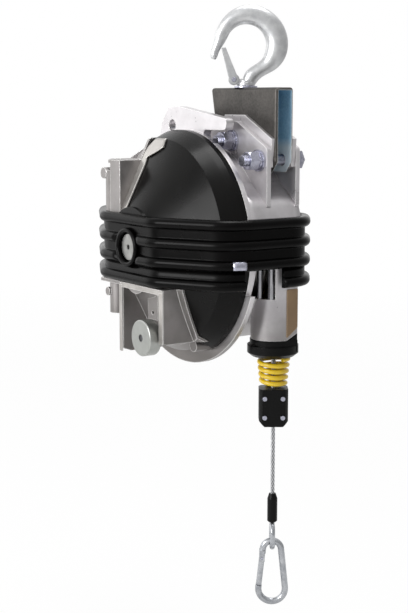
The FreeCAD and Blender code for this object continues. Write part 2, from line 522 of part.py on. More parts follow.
# ---- shaft, worm wheel and worm ----
shaft_front_y = BAND_FRONT_Y - BAND_T - 3
shaft = disc(SHAFT_R, shaft_front_y, shaft_back_y).fuse(disc(SHAFT_END_R, shaft_front_y, CONE_TOP_Y - 1))
keep("arbor_shaft", shaft)


def make_wheel():
    y0, y1 = WHEEL_Y - WHEEL_W / 2, WHEEL_Y + WHEEL_W / 2
    wheel = disc(WHEEL_R, y0, y1)
    gap = 2 * math.pi * WHEEL_R / WHEEL_TEETH * 0.55
    cuts = []
    for k in range(WHEEL_TEETH):
        cut = plate([(WHEEL_R - 5, -gap * 0.32), (WHEEL_R + 1, -gap * 0.55),
                     (WHEEL_R + 1, gap * 0.55), (WHEEL_R - 5, gap * 0.32)], y0 - 1, y1 + 1)
        cut.rotate(V(0, 0, 0), Y_AXIS, 360 * k / WHEEL_TEETH)
        cuts.append(cut)
    return wheel.cut(cuts).cut(disc(SHAFT_R, y0 - 1, y1 + 1))


keep("worm_wheel", make_wheel())
worm = post(WORM_R, -WORM_L / 2, WORM_L / 2, -CENTRES, WHEEL_Y)
worm = worm.fuse(post(JOURNAL_R, FOOT_END_Z + FRAME_T + SEAT, FRAME_TOP_Z - 26, -CENTRES, WHEEL_Y))
worm_head = hexagon(14, 0, 12, 0, 0)
worm_head.rotate(V(0, 0, 0), X_AXIS, 90)
worm_head.translate(V(-CENTRES, WHEEL_Y, FRAME_TOP_Z - 26))
keep("worm_screw", worm.fuse(worm_head))

# ---- drum with spring case, power spring, bearings ----
drum_back_y = CASE_BACK_Y - BACK_WALL - RUN - 2
groove_y0 = ROPE_Y - 2.5 * GROOVE_PITCH
groove_y1 = drum_back_y - DRUM_FLANGE_T


def groove_r(y):
    """Radius of the drum's surface: the rope's centre line lies at ROPE_X where it leaves."""
    return ROPE_X - ROPE_R * 0.4 + (y - ROPE_Y) * TAPER


def make_drum():
    y_flange = groove_y0 - DRUM_FLANGE_T
    outline = [(0, SPRING_CASE_Y), (SPRING_CASE_R, SPRING_CASE_Y), (SPRING_CASE_R, y_flange),
               (DRUM_FLANGE_R, y_flange), (DRUM_FLANGE_R, groove_y0)]
    turns = int((groove_y1 - groove_y0) / GROOVE_PITCH)
    for k in range(turns):
        y = groove_y0 + k * GROOVE_PITCH
        outline += [(groove_r(y), y), (groove_r(y), y + 0.15 * GROOVE_PITCH),
                    (groove_r(y) - ROPE_R, y + 0.32 * GROOVE_PITCH),
                    (groove_r(y) - ROPE_R, y + 0.68 * GROOVE_PITCH),
                    (groove_r(y), y + 0.85 * GROOVE_PITCH)]
    outline += [(groove_r(groove_y1) - ROPE_R, groove_y1), (DRUM_FLANGE_R, groove_y1),
                (DRUM_FLANGE_R, drum_back_y), (0, drum_back_y)]
    drum = turned(outline)
    case_in, core_in = SPRING_CASE_R - SPRING_CASE_T, groove_r(groove_y0) - ROPE_R - SPRING_CASE_T
    room = turned([(HUB_R, SPRING_CASE_Y - 1), (case_in, SPRING_CASE_Y - 1), (case_in, y_flange),
                   (core_in, y_flange), (core_in, drum_back_y - 8), (HUB_R, drum_back_y - 8)])
    hub_room = turned([(0, SPRING_CASE_Y - 1), (HUB_R, SPRING_CASE_Y - 1), (HUB_R, groove_y0), (0, groove_y0)])
    bore = disc(BEARING_R + FIT, groove_y0 - 1, drum_back_y + 1)
    return drum.cut([room, hub_room, bore])


keep("cable_drum", make_drum())


def make_power_spring():
    """A flat strip wound into a spiral of half circles, from the arbor to the case."""
    inner = ARBOR_R
    outer = SPRING_CASE_R - SPRING_CASE_T - STRIP_T - RUN
    step = (outer - inner) / (2 * SPRING_TURNS)

    def side(offset):
        edges, centre, r = [], 0.0, inner + offset
        for k in range(2 * SPRING_TURNS):
            sign = 1 if k % 2 == 0 else -1
            start, end = V(centre + sign * r, 0, 0), V(centre - sign * r, 0, 0)
            edges.append(Part.Arc(start, V(centre, 0, sign * r), end).toShape())
            r += step
            centre = end.x + sign * r
        return edges, start, end
    inner_edges, _, inner_end = side(0)
    outer_edges, _, outer_end = side(STRIP_T)
    first = Part.LineSegment(inner_edges[0].Vertexes[0].Point, outer_edges[0].Vertexes[0].Point).toShape()
    last = Part.LineSegment(inner_end, outer_end).toShape()
    wire = Part.Wire(Part.__sortEdges__(inner_edges + outer_edges + [first, last]))
    strip = Part.Face(wire).extrude(V(0, groove_y0 - 6 - SPRING_CASE_Y - 4, 0))
    strip.translate(V(0, SPRING_CASE_Y + 2, 0))
    return strip


keep("power_spring", make_power_spring())


def bearing(y, inner_r, outer_r, width):
    return disc(outer_r, y, y + width).cut(disc(inner_r, y - 1, y + width + 1))


keep("drum_bearings", Part.makeCompound([bearing(y, SHAFT_R + FIT, BEARING_R, BEARING_W)
                                         for y in (groove_y0 + 0.5, drum_back_y - BEARING_W - 0.5)]))
keep("rear_bearing", bearing(CASE_BACK_Y - BACK_WALL + 0.5, SHAFT_R + FIT, BEARING_R, BEARING_W - 1))

arbor = disc(ARBOR_R - RUN, SPRING_CASE_Y + 1, groove_y0 - 10)
keep("spring_arbor", arbor.cut(disc(SHAFT_R, SPRING_CASE_Y, groove_y0)))

# ---- rope guide: rollers and end ring ----
rollers = []
for turn in (-81, -43):
    a, reach = math.radians(turn), GUIDE_R - ROLLER_R
    x, y = reach * math.cos(a), reach * math.sin(a)
    rollers.append(post(ROLLER_R, WINDOW_LOW_Z + SEAT, WINDOW_TOP_Z - SEAT, GUIDE_X + x, GUIDE_Y + y))
keep("guide_rollers", Part.makeCompound(rollers))
ring = guide_section(GUIDE_R + 0.6, GUIDE_BACK_Y, RING_BOTTOM_Z + 6, GUIDE_END_Z - SEAT)
raised = guide_section(GUIDE_R, GUIDE_BACK_Y, GUIDE_END_Z - 3, GUIDE_END_Z + GUIDE_RAKE * 1.6)
raised = raised.common(guide_rake(SEAT))
bevel = Part.makeCone(RING_R - 5, RING_R, 4, V(GUIDE_X, GUIDE_Y, RING_BOTTOM_Z), Z_AXIS)
ring = ring.fuse([raised, post(RING_R, RING_BOTTOM_Z + 4, GUIDE_END_Z - 7, GUIDE_X, GUIDE_Y), bevel])
ring = ring.removeSplitter()
keep("guide_end_ring", ring.cut(post(12, RING_BOTTOM_Z - 1, GUIDE_END_Z + 1, ROPE_X, ROPE_Y)).cut(
    guide_section(GUIDE_R - GUIDE_WALL, GUIDE_BACK_Y - GUIDE_WALL, GUIDE_END_Z, GUIDE_END_Z + 30)))

# ---- rope end: bumper spring, stop block, sleeve, eye ----
def make_bumper():
    """A conical coil of half turns, each a flat half circle tilted by its share of the pitch."""
    height = RING_BOTTOM_Z - BLOCK_TOP_Z - 2 * BUMPER_WIRE_R - 2 * RUN
    halves = int(2 * BUMPER_TURNS)
    top_z = RING_BOTTOM_Z - BUMPER_WIRE_R - RUN
    edges = []
    for k in range(halves):
        (r0, z0), (r1, z1) = ((BUMPER_TOP_R - BUMPER_WIRE_R - (BUMPER_TOP_R - BUMPER_END_R) * m / halves,
                               top_z - height * m / halves) for m in (k, k + 1))
        side = 1 if k % 2 == 0 else -1
        start, end = V(ROPE_X + side * r0, ROPE_Y, z0), V(ROPE_X - side * r1, ROPE_Y, z1)
        middle = (start + end) / 2 + Y_AXIS * side * (end - start).Length / 2
        edges.append(Part.Arc(start, middle, end).toShape())
    section = Part.Face(Part.Wire(Part.Circle(edges[0].Vertexes[0].Point, Y_AXIS, BUMPER_WIRE_R).toShape()))
    return Part.Wire(edges).makePipe(section)


keep("bumper_spring", make_bumper())
rope_hole = post(ROPE_R + 0.1, SLEEVE_TOP_Z - 14, 0, ROPE_X, ROPE_Y)


def make_block():
    w, d, c = BLOCK_W / 2, BLOCK_D / 2, 6.0
    outline = [(-w, BLOCK_TOP_Z), (w, BLOCK_TOP_Z), (w, BLOCK_END_Z + c), (w - c, BLOCK_END_Z),
               (c - w, BLOCK_END_Z), (-w, BLOCK_END_Z + c)]
    block = plate([(ROPE_X + x, z) for x, z in outline], ROPE_Y - d, ROPE_Y + d)
    corner = post((BLOCK_W + BLOCK_D) * 0.31, BLOCK_END_Z - 1, BLOCK_TOP_Z + 1, ROPE_X, ROPE_Y)
    return block.common(corner).cut(rope_hole)


block = in_hook_plane(make_block(), ROPE_X, ROPE_Y)
halves = []
for y0, y1 in ((-FAR, -SEAT), (SEAT, FAR)):
    half = box(ROPE_X - BLOCK_W, ROPE_X + BLOCK_W, ROPE_Y + y0, ROPE_Y + y1, -FAR, 0)
    halves.append(block.common(in_hook_plane(half, ROPE_X, ROPE_Y)))
keep("stop_block_front", halves[0])
keep("stop_block_rear", halves[1])
screws = []
for x in (-BLOCK_W * 0.31, BLOCK_W * 0.31):
    for z in (BLOCK_TOP_Z - 10, BLOCK_END_Z + 11):
        screws.append(disc(2.6, ROPE_Y - BLOCK_D / 2 - 2.5, ROPE_Y - BLOCK_D / 2 - 0.1, ROPE_X + x, z))
keep("stop_block_screws", in_hook_plane(Part.makeCompound(screws), ROPE_X, ROPE_Y))
keep("wire_rope", post(ROPE_R, SLEEVE_TOP_Z - 13.5, 0, ROPE_X, ROPE_Y))

sleeve_top = [(0, SLEEVE_TOP_Z), (ROPE_R + 1.4, SLEEVE_TOP_Z), (SLEEVE_R, SLEEVE_TOP_Z - 6),
              (SLEEVE_R, SLEEVE_END_Z + 1.5), (SLEEVE_R - 1.5, SLEEVE_END_Z), (0, SLEEVE_END_Z)]
wire = Part.makePolygon([V(r, 0, z) for r, z in sleeve_top + sleeve_top[:1]])
sleeve = Part.Face(wire).revolve(V(0, 0, 0), Z_AXIS, 360)
sleeve.translate(V(ROPE_X, ROPE_Y, 0))
keep("rope_sleeve", sleeve.cut(rope_hole))


def make_eye():
    """An oblong ring through which the snap hook passes."""
    def at(y, z):
        return V(ROPE_X, ROPE_Y + y, z)
    low_z = EYE_Z - EYE_LONG
    edges = [Part.Arc(at(EYE_R, EYE_Z), at(0, EYE_Z + EYE_R), at(-EYE_R, EYE_Z)).toShape(),
             Part.LineSegment(at(-EYE_R, EYE_Z), at(-EYE_R, low_z)).toShape(),
             Part.Arc(at(-EYE_R, low_z), at(0, low_z - EYE_R), at(EYE_R, low_z)).toShape(),
             Part.LineSegment(at(EYE_R, low_z), at(EYE_R, EYE_Z)).toShape()]
    section = Part.Face(Part.Wire(Part.Circle(at(EYE_R, EYE_Z), Z_AXIS, EYE_WIRE_R).toShape()))
    return Part.Wire(edges).makePipe(section)


keep("rope_eye", in_hook_plane(make_eye(), ROPE_X, ROPE_Y))


# ---- snap hook ----
def make_snap():
    """A pear-shaped wire loop: two arcs and their common tangents, opened on the left for the gate."""
    low_z = SNAP_Z - SNAP_LENGTH
    lean = math.asin((SNAP_BOTTOM_R - SNAP_TOP_R) / SNAP_LENGTH)
    c, s = math.cos(lean), math.sin(lean)

    def at(x, z):
        return V(ROPE_X + x, ROPE_Y, z)
    top_right, top_left = (at(side * SNAP_TOP_R * c, SNAP_Z + SNAP_TOP_R * s) for side in (1, -1))
    low_right, low_left = (at(side * SNAP_BOTTOM_R * c, low_z + SNAP_BOTTOM_R * s) for side in (1, -1))
    gate_top = top_left + (low_left - top_left) * 0.12
    gate_low = low_left + (top_left - low_left) * 0.06
    edges = [Part.LineSegment(gate_top, top_left).toShape(),
             Part.Arc(top_left, at(0, SNAP_Z + SNAP_TOP_R), top_right).toShape(),
             Part.LineSegment(top_right, low_right).toShape(),
             Part.Arc(low_right, at(0, low_z - SNAP_BOTTOM_R), low_left).toShape(),
             Part.LineSegment(low_left, gate_low).toShape()]
    path = Part.Wire(edges)
    circle = Part.Wire(Part.Circle(gate_top, top_left - gate_top, SNAP_WIRE_R).toShape())
    body = path.makePipeShell([circle], True, True)
    gate_end = gate_low + (gate_top - gate_low) * 0.02
    top_end = gate_top + (gate_low - gate_top) * 0.042
    direction = gate_end - top_end
    gate = Part.makeCylinder(SNAP_WIRE_R - 0.4, direction.Length, top_end, direction)
    return body, gate, top_end, direction


snap, gate, gate_top, gate_dir = make_snap()
pivot = gate_top + gate_dir * 0.09
pin_hole = Part.makeCylinder(GATE_PIN_R + FIT, 20, pivot - Y_AXIS * 10, Y_AXIS)
gate_cheeks = []
for y0, y1 in ((-SNAP_WIRE_R - 1.2, -SNAP_WIRE_R + 0.1), (SNAP_WIRE_R - 0.1, SNAP_WIRE_R + 1.2)):
    gate_cheeks.append(box(pivot.x - 3, pivot.x + 3, ROPE_Y + y0, ROPE_Y + y1, pivot.z - 4, pivot.z + 9))
keep("snap_hook", in_hook_plane(snap.fuse(gate_cheeks).cut(pin_hole), ROPE_X, ROPE_Y))
keep("snap_gate", in_hook_plane(gate.cut(pin_hole), ROPE_X, ROPE_Y))
gate_pin = Part.makeCylinder(GATE_PIN_R, 2 * SNAP_WIRE_R + 3, pivot - Y_AXIS * (SNAP_WIRE_R + 1.5), Y_AXIS)
keep("gate_pin", in_hook_plane(gate_pin, ROPE_X, ROPE_Y))

# ---- lock knob and plunger ----
plunger_end = groove_y0 - DRUM_FLANGE_T - RUN - LOCK_TRAVEL
keep("lock_plunger", disc(PLUNGER_R, KNOB_Y + 4, plunger_end, KNOB_X, KNOB_Z))
knob = disc(KNOB_R, KNOB_Y, KNOB_Y + KNOB_T, KNOB_X, KNOB_Z)
knob = knob.makeFillet(1.5, [e for e in knob.Edges if e.Curve.TypeId == "Part::GeomCircle"])
keep("lock_knob", knob.cut([disc(PLUNGER_R, KNOB_Y + 4, KNOB_Y + KNOB_T + 1, KNOB_X, KNOB_Z),
                            disc(4.2, KNOB_Y - 1, KNOB_Y + 4, KNOB_X, KNOB_Z)]))
keep("knob_screw", disc(4.0, KNOB_Y + 1, KNOB_Y + 4 - SEAT, KNOB_X, KNOB_Z))

# ---- rubber bumper band with ribs ----
band_x, band_back_y = RIM_R + BAND_GAP, CASE_BACK_Y + REAR_H + 2
right_half = [(CONE_TOP_R + 7, BAND_FRONT_Y), (CONE_FOOT_R + 4, CONE_FOOT_Y - 2.5), (band_x, -5),
              (band_x, CASE_BACK_Y - 7), (RIM_R - 33, band_back_y)]
band_corners = right_half + [(-x, y) for x, y in reversed(right_half)]


def make_band():
    half = ((RIBS - 1) * RIB_PITCH + 2 * RIB_R) / 2
    z0, z1 = BAND_MID_Z - half, BAND_MID_Z + half
    inner = rounded(band_corners, BAND_CORNER_R, z0)
    outer = inner.makeOffset2D(BAND_T)
    band = Part.Face(outer).extrude(V(0, 0, z1 - z0)).cut(Part.Face(inner).extrude(V(0, 0, z1 - z0)))
    parts = []
    for k in range(RIBS):
        z = BAND_MID_Z + (k - (RIBS - 1) / 2) * RIB_PITCH
        path = rounded(band_corners, BAND_CORNER_R, z)
        start = path.Edges[1].Vertexes[0].Point
        end = path.Edges[1].Vertexes[1].Point
        out = (end - start).normalize().cross(Z_AXIS)

        def rib_at(reach, height):
            return start + out * reach + Z_AXIS * height
        near, far = BAND_T / 2, BAND_T
        edges = [Part.LineSegment(rib_at(near, -RIB_R), rib_at(far, -RIB_R)).toShape(),
                 Part.Arc(rib_at(far, -RIB_R), rib_at(far + RIB_R, 0), rib_at(far, RIB_R)).toShape(),
                 Part.LineSegment(rib_at(far, RIB_R), rib_at(near, RIB_R)).toShape(),
                 Part.LineSegment(rib_at(near, RIB_R), rib_at(near, -RIB_R)).toShape()]
        order = path.Edges[1:] + path.Edges[:1]
        parts.append(Part.Wire(order).makePipeShell([Part.Wire(edges)], True, False))
    boss_y = BAND_FRONT_Y - BAND_T - RIB_R
    boss = disc(BOSS_R, boss_y, BAND_FRONT_Y)
    band = band.fuse(parts + [boss])
    notch = box(GUIDE_X + 2, FAR, -9, GUIDE_Y - 14, z0 - 5, BAND_MID_Z - RIB_PITCH / 2 - RIB_R)
    return band.cut([disc(SHAFT_END_R + 0.6, boss_y - 1, BAND_FRONT_Y + 1), notch])


keep("bumper_band", make_band())

total = 0
for name, shape in nodes.items():
    shape.exportStep("parts/" + name + ".step")
    solids = shape.Solids
    print(name, len(solids), shape.isValid(), round(sum(s.Volume for s in solids) / 1000, 1))
    total += len(solids)
whole = FreeCAD.BoundBox()
for shape in nodes.values():
    whole.add(shape.BoundBox)
print(len(nodes), "nodes", total, "solids", whole)
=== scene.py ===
import math

import bmesh
import bpy
import numpy as np
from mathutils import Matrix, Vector


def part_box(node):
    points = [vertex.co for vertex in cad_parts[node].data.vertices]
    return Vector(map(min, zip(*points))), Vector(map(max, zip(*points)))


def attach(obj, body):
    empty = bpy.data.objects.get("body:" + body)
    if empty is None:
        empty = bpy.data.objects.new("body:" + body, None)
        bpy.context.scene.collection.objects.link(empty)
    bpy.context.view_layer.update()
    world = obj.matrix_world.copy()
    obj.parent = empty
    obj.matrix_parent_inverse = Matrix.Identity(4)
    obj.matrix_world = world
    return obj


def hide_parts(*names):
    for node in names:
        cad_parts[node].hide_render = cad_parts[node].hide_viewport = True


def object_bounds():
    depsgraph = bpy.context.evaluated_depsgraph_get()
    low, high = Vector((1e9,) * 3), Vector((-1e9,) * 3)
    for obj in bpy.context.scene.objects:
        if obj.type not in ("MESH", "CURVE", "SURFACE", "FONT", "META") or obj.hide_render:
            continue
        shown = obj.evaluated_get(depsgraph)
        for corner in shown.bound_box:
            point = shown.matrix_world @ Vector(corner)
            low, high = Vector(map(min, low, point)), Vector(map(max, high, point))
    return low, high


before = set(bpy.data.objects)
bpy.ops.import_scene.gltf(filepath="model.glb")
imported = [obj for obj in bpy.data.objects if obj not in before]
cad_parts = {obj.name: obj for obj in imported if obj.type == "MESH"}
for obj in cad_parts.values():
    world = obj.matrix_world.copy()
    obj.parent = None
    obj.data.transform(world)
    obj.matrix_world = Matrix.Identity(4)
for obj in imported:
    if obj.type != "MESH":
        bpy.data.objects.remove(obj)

cadBox = [list(corner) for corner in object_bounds()]
mm = 0.001
waveStep = math.pi / 10                                 # a wave texture's bands are this far apart at scale 1

# camera: where it looks, in mm, and from where
view = {"aim": (-25.85, -39.53, -319.57), "away": 1504, "azimuth": 56, "elevation": 9, "lens": 76.35}
azimuth, elevation = math.radians(view["azimuth"]), math.radians(view["elevation"])
aim = Vector(view["aim"]) * mm
back = Vector((math.sin(azimuth) * math.cos(elevation), -math.cos(azimuth) * math.cos(elevation),
               math.sin(elevation)))
right = Vector((math.cos(azimuth), math.sin(azimuth), 0))
up = back.cross(right)
camera = bpy.data.objects.new("camera", bpy.data.cameras.new("camera"))
camera.data.lens = view["lens"]
camera.location = aim + back * view["away"] * mm
camera.rotation_euler = back.to_track_quat("Z", "Y").to_euler()
bpy.context.scene.collection.objects.link(camera)
bpy.context.scene.camera = camera
bpy.context.scene.view_settings.view_transform = "Standard"
print("camera")


def srgb(code):
    # screen hex value to the linear colour that shaders work in
    v = np.array([int(code[i:i + 2], 16) for i in (1, 3, 5)]) / 255
    v = np.where(v <= 0.04045, v / 12.92, ((v + 0.055) / 1.055) ** 2.4)
    return (*v.tolist(), 1.0)


def addNode(finish, kind, sockets=None, **settings):
    # one node with its settings; a socket takes a number or another node's output. A Mix of colours
    # has them at sockets 6 and 7, and its result at output 2
    node = finish.node_tree.nodes.new(kind)
    for key, value in settings.items():
        setattr(node, key, value)
    for key, value in (sockets or {}).items():
        if isinstance(value, bpy.types.NodeSocket):
            finish.node_tree.links.new(value, node.inputs[key])
        else:
            node.inputs[key].default_value = value
    return node


def newFinish(name, edge):
    # an empty finish, its place on the object, and a normal that rounds sharp edges by edge mm
    finish = bpy.data.materials.new(name)
    finish.use_nodes = True
    finish.node_tree.nodes.clear()
    place = addNode(finish, "ShaderNodeTexCoord").outputs["Object"]
    return finish, place, addNode(finish, "ShaderNodeBevel", {"Radius": edge * mm}, samples=4).outputs[0]


def wornAndHighlitEdge(finish, width, tone, bright):
    # the tone turns bright where a rounded normal leaves the real one, which is along sharp edges: partly
    # rubbed wear and partly a painted highlight
    rounded = addNode(finish, "ShaderNodeBevel", {"Radius": width * mm}, samples=4).outputs[0]
    flat = addNode(finish, "ShaderNodeNewGeometry").outputs["Normal"]
    alike = addNode(finish, "ShaderNodeVectorMath", {0: rounded, 1: flat}, operation="DOT_PRODUCT")
    part = addNode(finish, "ShaderNodeMapRange",
                   {"Value": alike.outputs["Value"], "From Min": 0.995, "From Max": 0.86})
    both = addNode(finish, "ShaderNodeMix", {0: part.outputs[0], 6: tone, 7: srgb(bright)}, data_type="RGBA")
    return both.outputs[2]


def seenDirectly(finish):
    # 1 for what the eye sees straight on or through glass, else 0
    rays = addNode(finish, "ShaderNodeLightPath").outputs
    return addNode(finish, "ShaderNodeMath", {0: rays["Is Camera Ray"], 1: rays["Is Transmission Ray"]},
                   operation="MAXIMUM").outputs[0]


def dress(nodeNames, finish):
    # the CAD pieces keep their mesh and only change finish
    for name in nodeNames.split():
        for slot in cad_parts[name].material_slots:
            slot.material = finish


def gridPiece(name, points, finish, closedU=False, closedV=False, caps=False, smooth=True):
    # points is a (u, v, 3) array; neighbours are joined by quads, and caps close the two v rings
    nu, nv = points.shape[:2]
    index = np.arange(nu * nv).reshape(nu, nv)
    iu = np.arange(nu if closedU else nu - 1)
    iv = np.arange(nv if closedV else nv - 1)
    a = index[np.ix_(iu, iv)]
    b = index[np.ix_((iu + 1) % nu, iv)]
    c = index[np.ix_((iu + 1) % nu, (iv + 1) % nv)]
    d = index[np.ix_(iu, (iv + 1) % nv)]
    faces = np.stack([a, b, c, d], -1).reshape(-1, 4).tolist()
    if caps:
        faces += [index[0, ::-1].tolist(), index[-1].tolist()]
    mesh = bpy.data.meshes.new(name)
    mesh.from_pydata(points.reshape(-1, 3).tolist(), [], faces)
    mesh.polygons.foreach_set("use_smooth", np.full(len(mesh.polygons), smooth))
    work = bmesh.new()      # faces of a closed surface are turned to point outwards
    work.from_mesh(mesh)
    bmesh.ops.recalc_face_normals(work, faces=work.faces)
    work.to_mesh(mesh)
    work.free()
    piece = bpy.data.objects.new(name, mesh)
    bpy.context.scene.collection.objects.link(piece)
    mesh.materials.append(finish)
    return piece


# Wire rope, bare: galvanised strands, light on their crowns and darkened in the valleys as a painted shade.
def strandedSteel():
    finish, place, edge = newFinish("galvanised_wire_rope", 0.1)
    depth = addNode(finish, "ShaderNodeAttribute", attribute_name="valley").outputs["Fac"]
    dust = addNode(finish, "ShaderNodeTexNoise", {"Vector": place, "Scale": 1 / (3 * mm), "Detail": 4.0})
    # painted shade: the deeper a point lies in a valley the darker it is, with random dust mixed in
    part = addNode(finish, "ShaderNodeMath", {0: dust.outputs["Fac"], 1: 0.3, 2: depth},
                   operation="MULTIPLY_ADD")
    dark = addNode(finish, "ShaderNodeMapRange", {"Value": part.outputs[0], "From Min": 0.3,
                                                  "From Max": 0.95})
    tone = addNode(finish, "ShaderNodeMix", {0: dark.outputs[0], 6: srgb("#c6c7c9"), 7: srgb("#17181a")},
                   data_type="RGBA")
    # single wires are finer than the render shows, so the bump is drawn 1 mm wide
    wires = addNode(finish, "ShaderNodeTexNoise", {"Vector": place, "Scale": 1 / (1.0 * mm), "Detail": 2.0})
    bump = addNode(finish, "ShaderNodeBump", {"Height": wires.outputs["Fac"], "Strength": 0.4,
                                              "Distance": 0.1 * mm, "Normal": edge})
    shader = addNode(finish, "ShaderNodeBsdfPrincipled", {"Base Color": tone.outputs[2], "Metallic": 0.75,
                                                          "Roughness": 0.4, "Normal": bump.outputs[0]})
    addNode(finish, "ShaderNodeOutputMaterial", {0: shader.outputs[0]})
    return finish


rope = {"strands": 6, "lay": 30 * mm, "diameter": 5 * mm, "pointsPerStrand": 8, "resolution": 150,
        "straight": 30 * mm, "valley": 0.25}       # valley: least reach past the ring, in strand radii


def makeRope():
    # a section of circles set round a core, so that the reach from the axis falls in a rounded
    # valley between neighbouring strands; it follows the route and turns once per lay length
    low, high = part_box("wire_rope")
    x, y = (low.x + high.x) / 2, (low.y + high.y) / 2
    route = bpy.data.curves.new("rope_route", "CURVE")
    route.dimensions = "3D"
    line = route.splines.new("NURBS")
    heights = (high.z, high.z - rope["straight"], low.z + rope["straight"], low.z)
    line.points.add(len(heights) - 1)
    for point, z in zip(line.points, heights):
        point.co = (x, y, z, 1)
    line.order_u = 3
    line.use_endpoint_u = True
    line.resolution_u = rope["resolution"]
    holder = bpy.data.objects.new("rope_route", route)
    drawn = bpy.data.meshes.new_from_object(holder)
    path = np.empty(3 * len(drawn.vertices), np.float32)
    drawn.vertices.foreach_get("co", path)
    bpy.data.objects.remove(holder)
    path = path.reshape(-1, 3).astype(float)
    path = path[np.argsort(-path[:, 2])]
    angle = np.linspace(0, 2 * np.pi, rope["strands"] * rope["pointsPerStrand"], endpoint=False)
    outer = rope["diameter"] / 2
    strand = outer / 3
    ring = outer - strand
    pitch = 2 * np.pi / rope["strands"]
    off = (angle + pitch / 2) % pitch - pitch / 2
    past = np.maximum(strand ** 2 - (ring * np.sin(off)) ** 2, (rope["valley"] * strand) ** 2)
    reach = np.minimum(ring * np.cos(off) + np.sqrt(past), outer)
    turned = angle[None] + 2 * np.pi * (path[:1, 2:] - path[:, 2:]) / rope["lay"]
    section = np.stack([reach * np.cos(turned), reach * np.sin(turned), np.zeros_like(turned)], -1)
    piece = gridPiece("wire_rope_strands", path[:, None] + section, strandedSteel(), closedV=True, caps=True)
    # how deep each point lies between strands, which the finish darkens as a painted shade
    valley = np.broadcast_to((outer - reach) / (outer - reach.min()), turned.shape).astype(np.float32)
    piece.data.attributes.new("valley", "FLOAT", "POINT").data.foreach_set("value", valley.ravel())
    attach(piece, "rope_end")
    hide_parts("wire_rope")


makeRope()
print("wire rope")

# painted shade: between these heights the castings are darkened towards the bottom
paintedLowShade = {"from": -300, "to": -372, "most": 0.85}         # heights in mm between which a casting dulls


# Die-cast aluminium, blasted: satin silver with a faint warm cast, fine grit and cloudy flow marks;
# edges are lightened, partly rubbed wear and partly a painted highlight, and the casting is darkened
# towards the bottom as a painted shade.
def castAluminium(name, light, shade, dull, bright, rough, grit):
    finish, place, edge = newFinish(name, 0.9)
    cloud = addNode(finish, "ShaderNodeTexNoise", {"Vector": place, "Scale": 1 / (38 * mm), "Detail": 6.0,
                                                   "Roughness": 0.6})
    speck = addNode(finish, "ShaderNodeTexNoise", {"Vector": place, "Scale": 1 / (1.2 * mm), "Detail": 2.0})
    part = addNode(finish, "ShaderNodeMapRange", {"Value": cloud.outputs["Fac"], "From Min": 0.35,
                                                  "From Max": 0.62})
    mix = addNode(finish, "ShaderNodeMath", {0: speck.outputs["Fac"], 1: 0.3, 2: -0.15},
                  operation="MULTIPLY_ADD")
    fleck = addNode(finish, "ShaderNodeMath", {0: part.outputs[0], 1: mix.outputs[0]}, operation="ADD",
                    use_clamp=True)
    clean = addNode(finish, "ShaderNodeMix", {0: fleck.outputs[0], 6: srgb(shade), 7: srgb(light)},
                    data_type="RGBA")
    # painted shade: lower down the tone mixes towards the dull colour
    height = addNode(finish, "ShaderNodeSeparateXYZ", {0: place}).outputs["Z"]
    low = addNode(finish, "ShaderNodeMapRange", {"Value": height, "From Min": paintedLowShade["from"] * mm,
                                                 "From Max": paintedLowShade["to"] * mm, "To Max": paintedLowShade["most"]})
    tone = addNode(finish, "ShaderNodeMix", {0: low.outputs[0], 6: clean.outputs[2], 7: srgb(dull)},
                   data_type="RGBA")
    # edges lightened: rubbed wear together with a painted highlight
    wornAndHighlit = wornAndHighlitEdge(finish, 1.5, tone.outputs[2], bright)
    gloss = addNode(finish, "ShaderNodeMapRange", {"Value": cloud.outputs["Fac"], "From Min": 0.3,
                                                   "From Max": 0.7, "To Min": rough - 0.07,
                                                   "To Max": rough + 0.08})
    bump = addNode(finish, "ShaderNodeBump", {"Height": speck.outputs["Fac"], "Strength": 0.35,
                                              "Distance": grit * mm, "Normal": edge})
    shader = addNode(finish, "ShaderNodeBsdfPrincipled", {"Base Color": wornAndHighlit, "Metallic": 0.7,
                                                          "Roughness": gloss.outputs[0],
                                                          "Normal": bump.outputs[0]})
    addNode(finish, "ShaderNodeOutputMaterial", {0: shader.outputs[0]})
    return finish


# Galvanised forging: light matt zinc over a softly hammered skin, with a few brighter spangles.
def galvanisedForging(name, light, shade, rough):
    finish, place, edge = newFinish(name, 1.2)
    skin = addNode(finish, "ShaderNodeTexNoise", {"Vector": place, "Scale": 1 / (9 * mm), "Detail": 5.0,
                                                  "Roughness": 0.55})
    spangle = addNode(finish, "ShaderNodeTexVoronoi", {"Vector": place, "Scale": 1 / (3.2 * mm)})
    grey = addNode(finish, "ShaderNodeRGBToBW", {0: spangle.outputs["Color"]})
    blend = addNode(finish, "ShaderNodeMath", {0: grey.outputs[0], 1: 0.18, 2: skin.outputs["Fac"]},
                    operation="MULTIPLY_ADD")
    part = addNode(finish, "ShaderNodeMapRange", {"Value": blend.outputs[0], "From Min": 0.38,
                                                  "From Max": 0.85})
    tone = addNode(finish, "ShaderNodeMix", {0: part.outputs[0], 6: srgb(shade), 7: srgb(light)},
                   data_type="RGBA")
    bump = addNode(finish, "ShaderNodeBump", {"Height": skin.outputs["Fac"], "Strength": 0.35,
                                              "Distance": 0.4 * mm, "Normal": edge})
    shader = addNode(finish, "ShaderNodeBsdfPrincipled", {"Base Color": tone.outputs[2], "Metallic": 0.8,
                                                          "Roughness": rough, "Normal": bump.outputs[0]})
    addNode(finish, "ShaderNodeOutputMaterial", {0: shader.outputs[0]})
    return finish


# mm in from the hanger's outer faces to where its blue inside starts, and the stretch below its top,
# from and to, over which the inside turns pale, a painted light
hanger = {"inset": 2.8, "paleFrom": 52, "paleTo": 62, "paleMost": 0.9, "pale": "#dfe8ec", "wornAndHighlit": "#e4e4e2"}
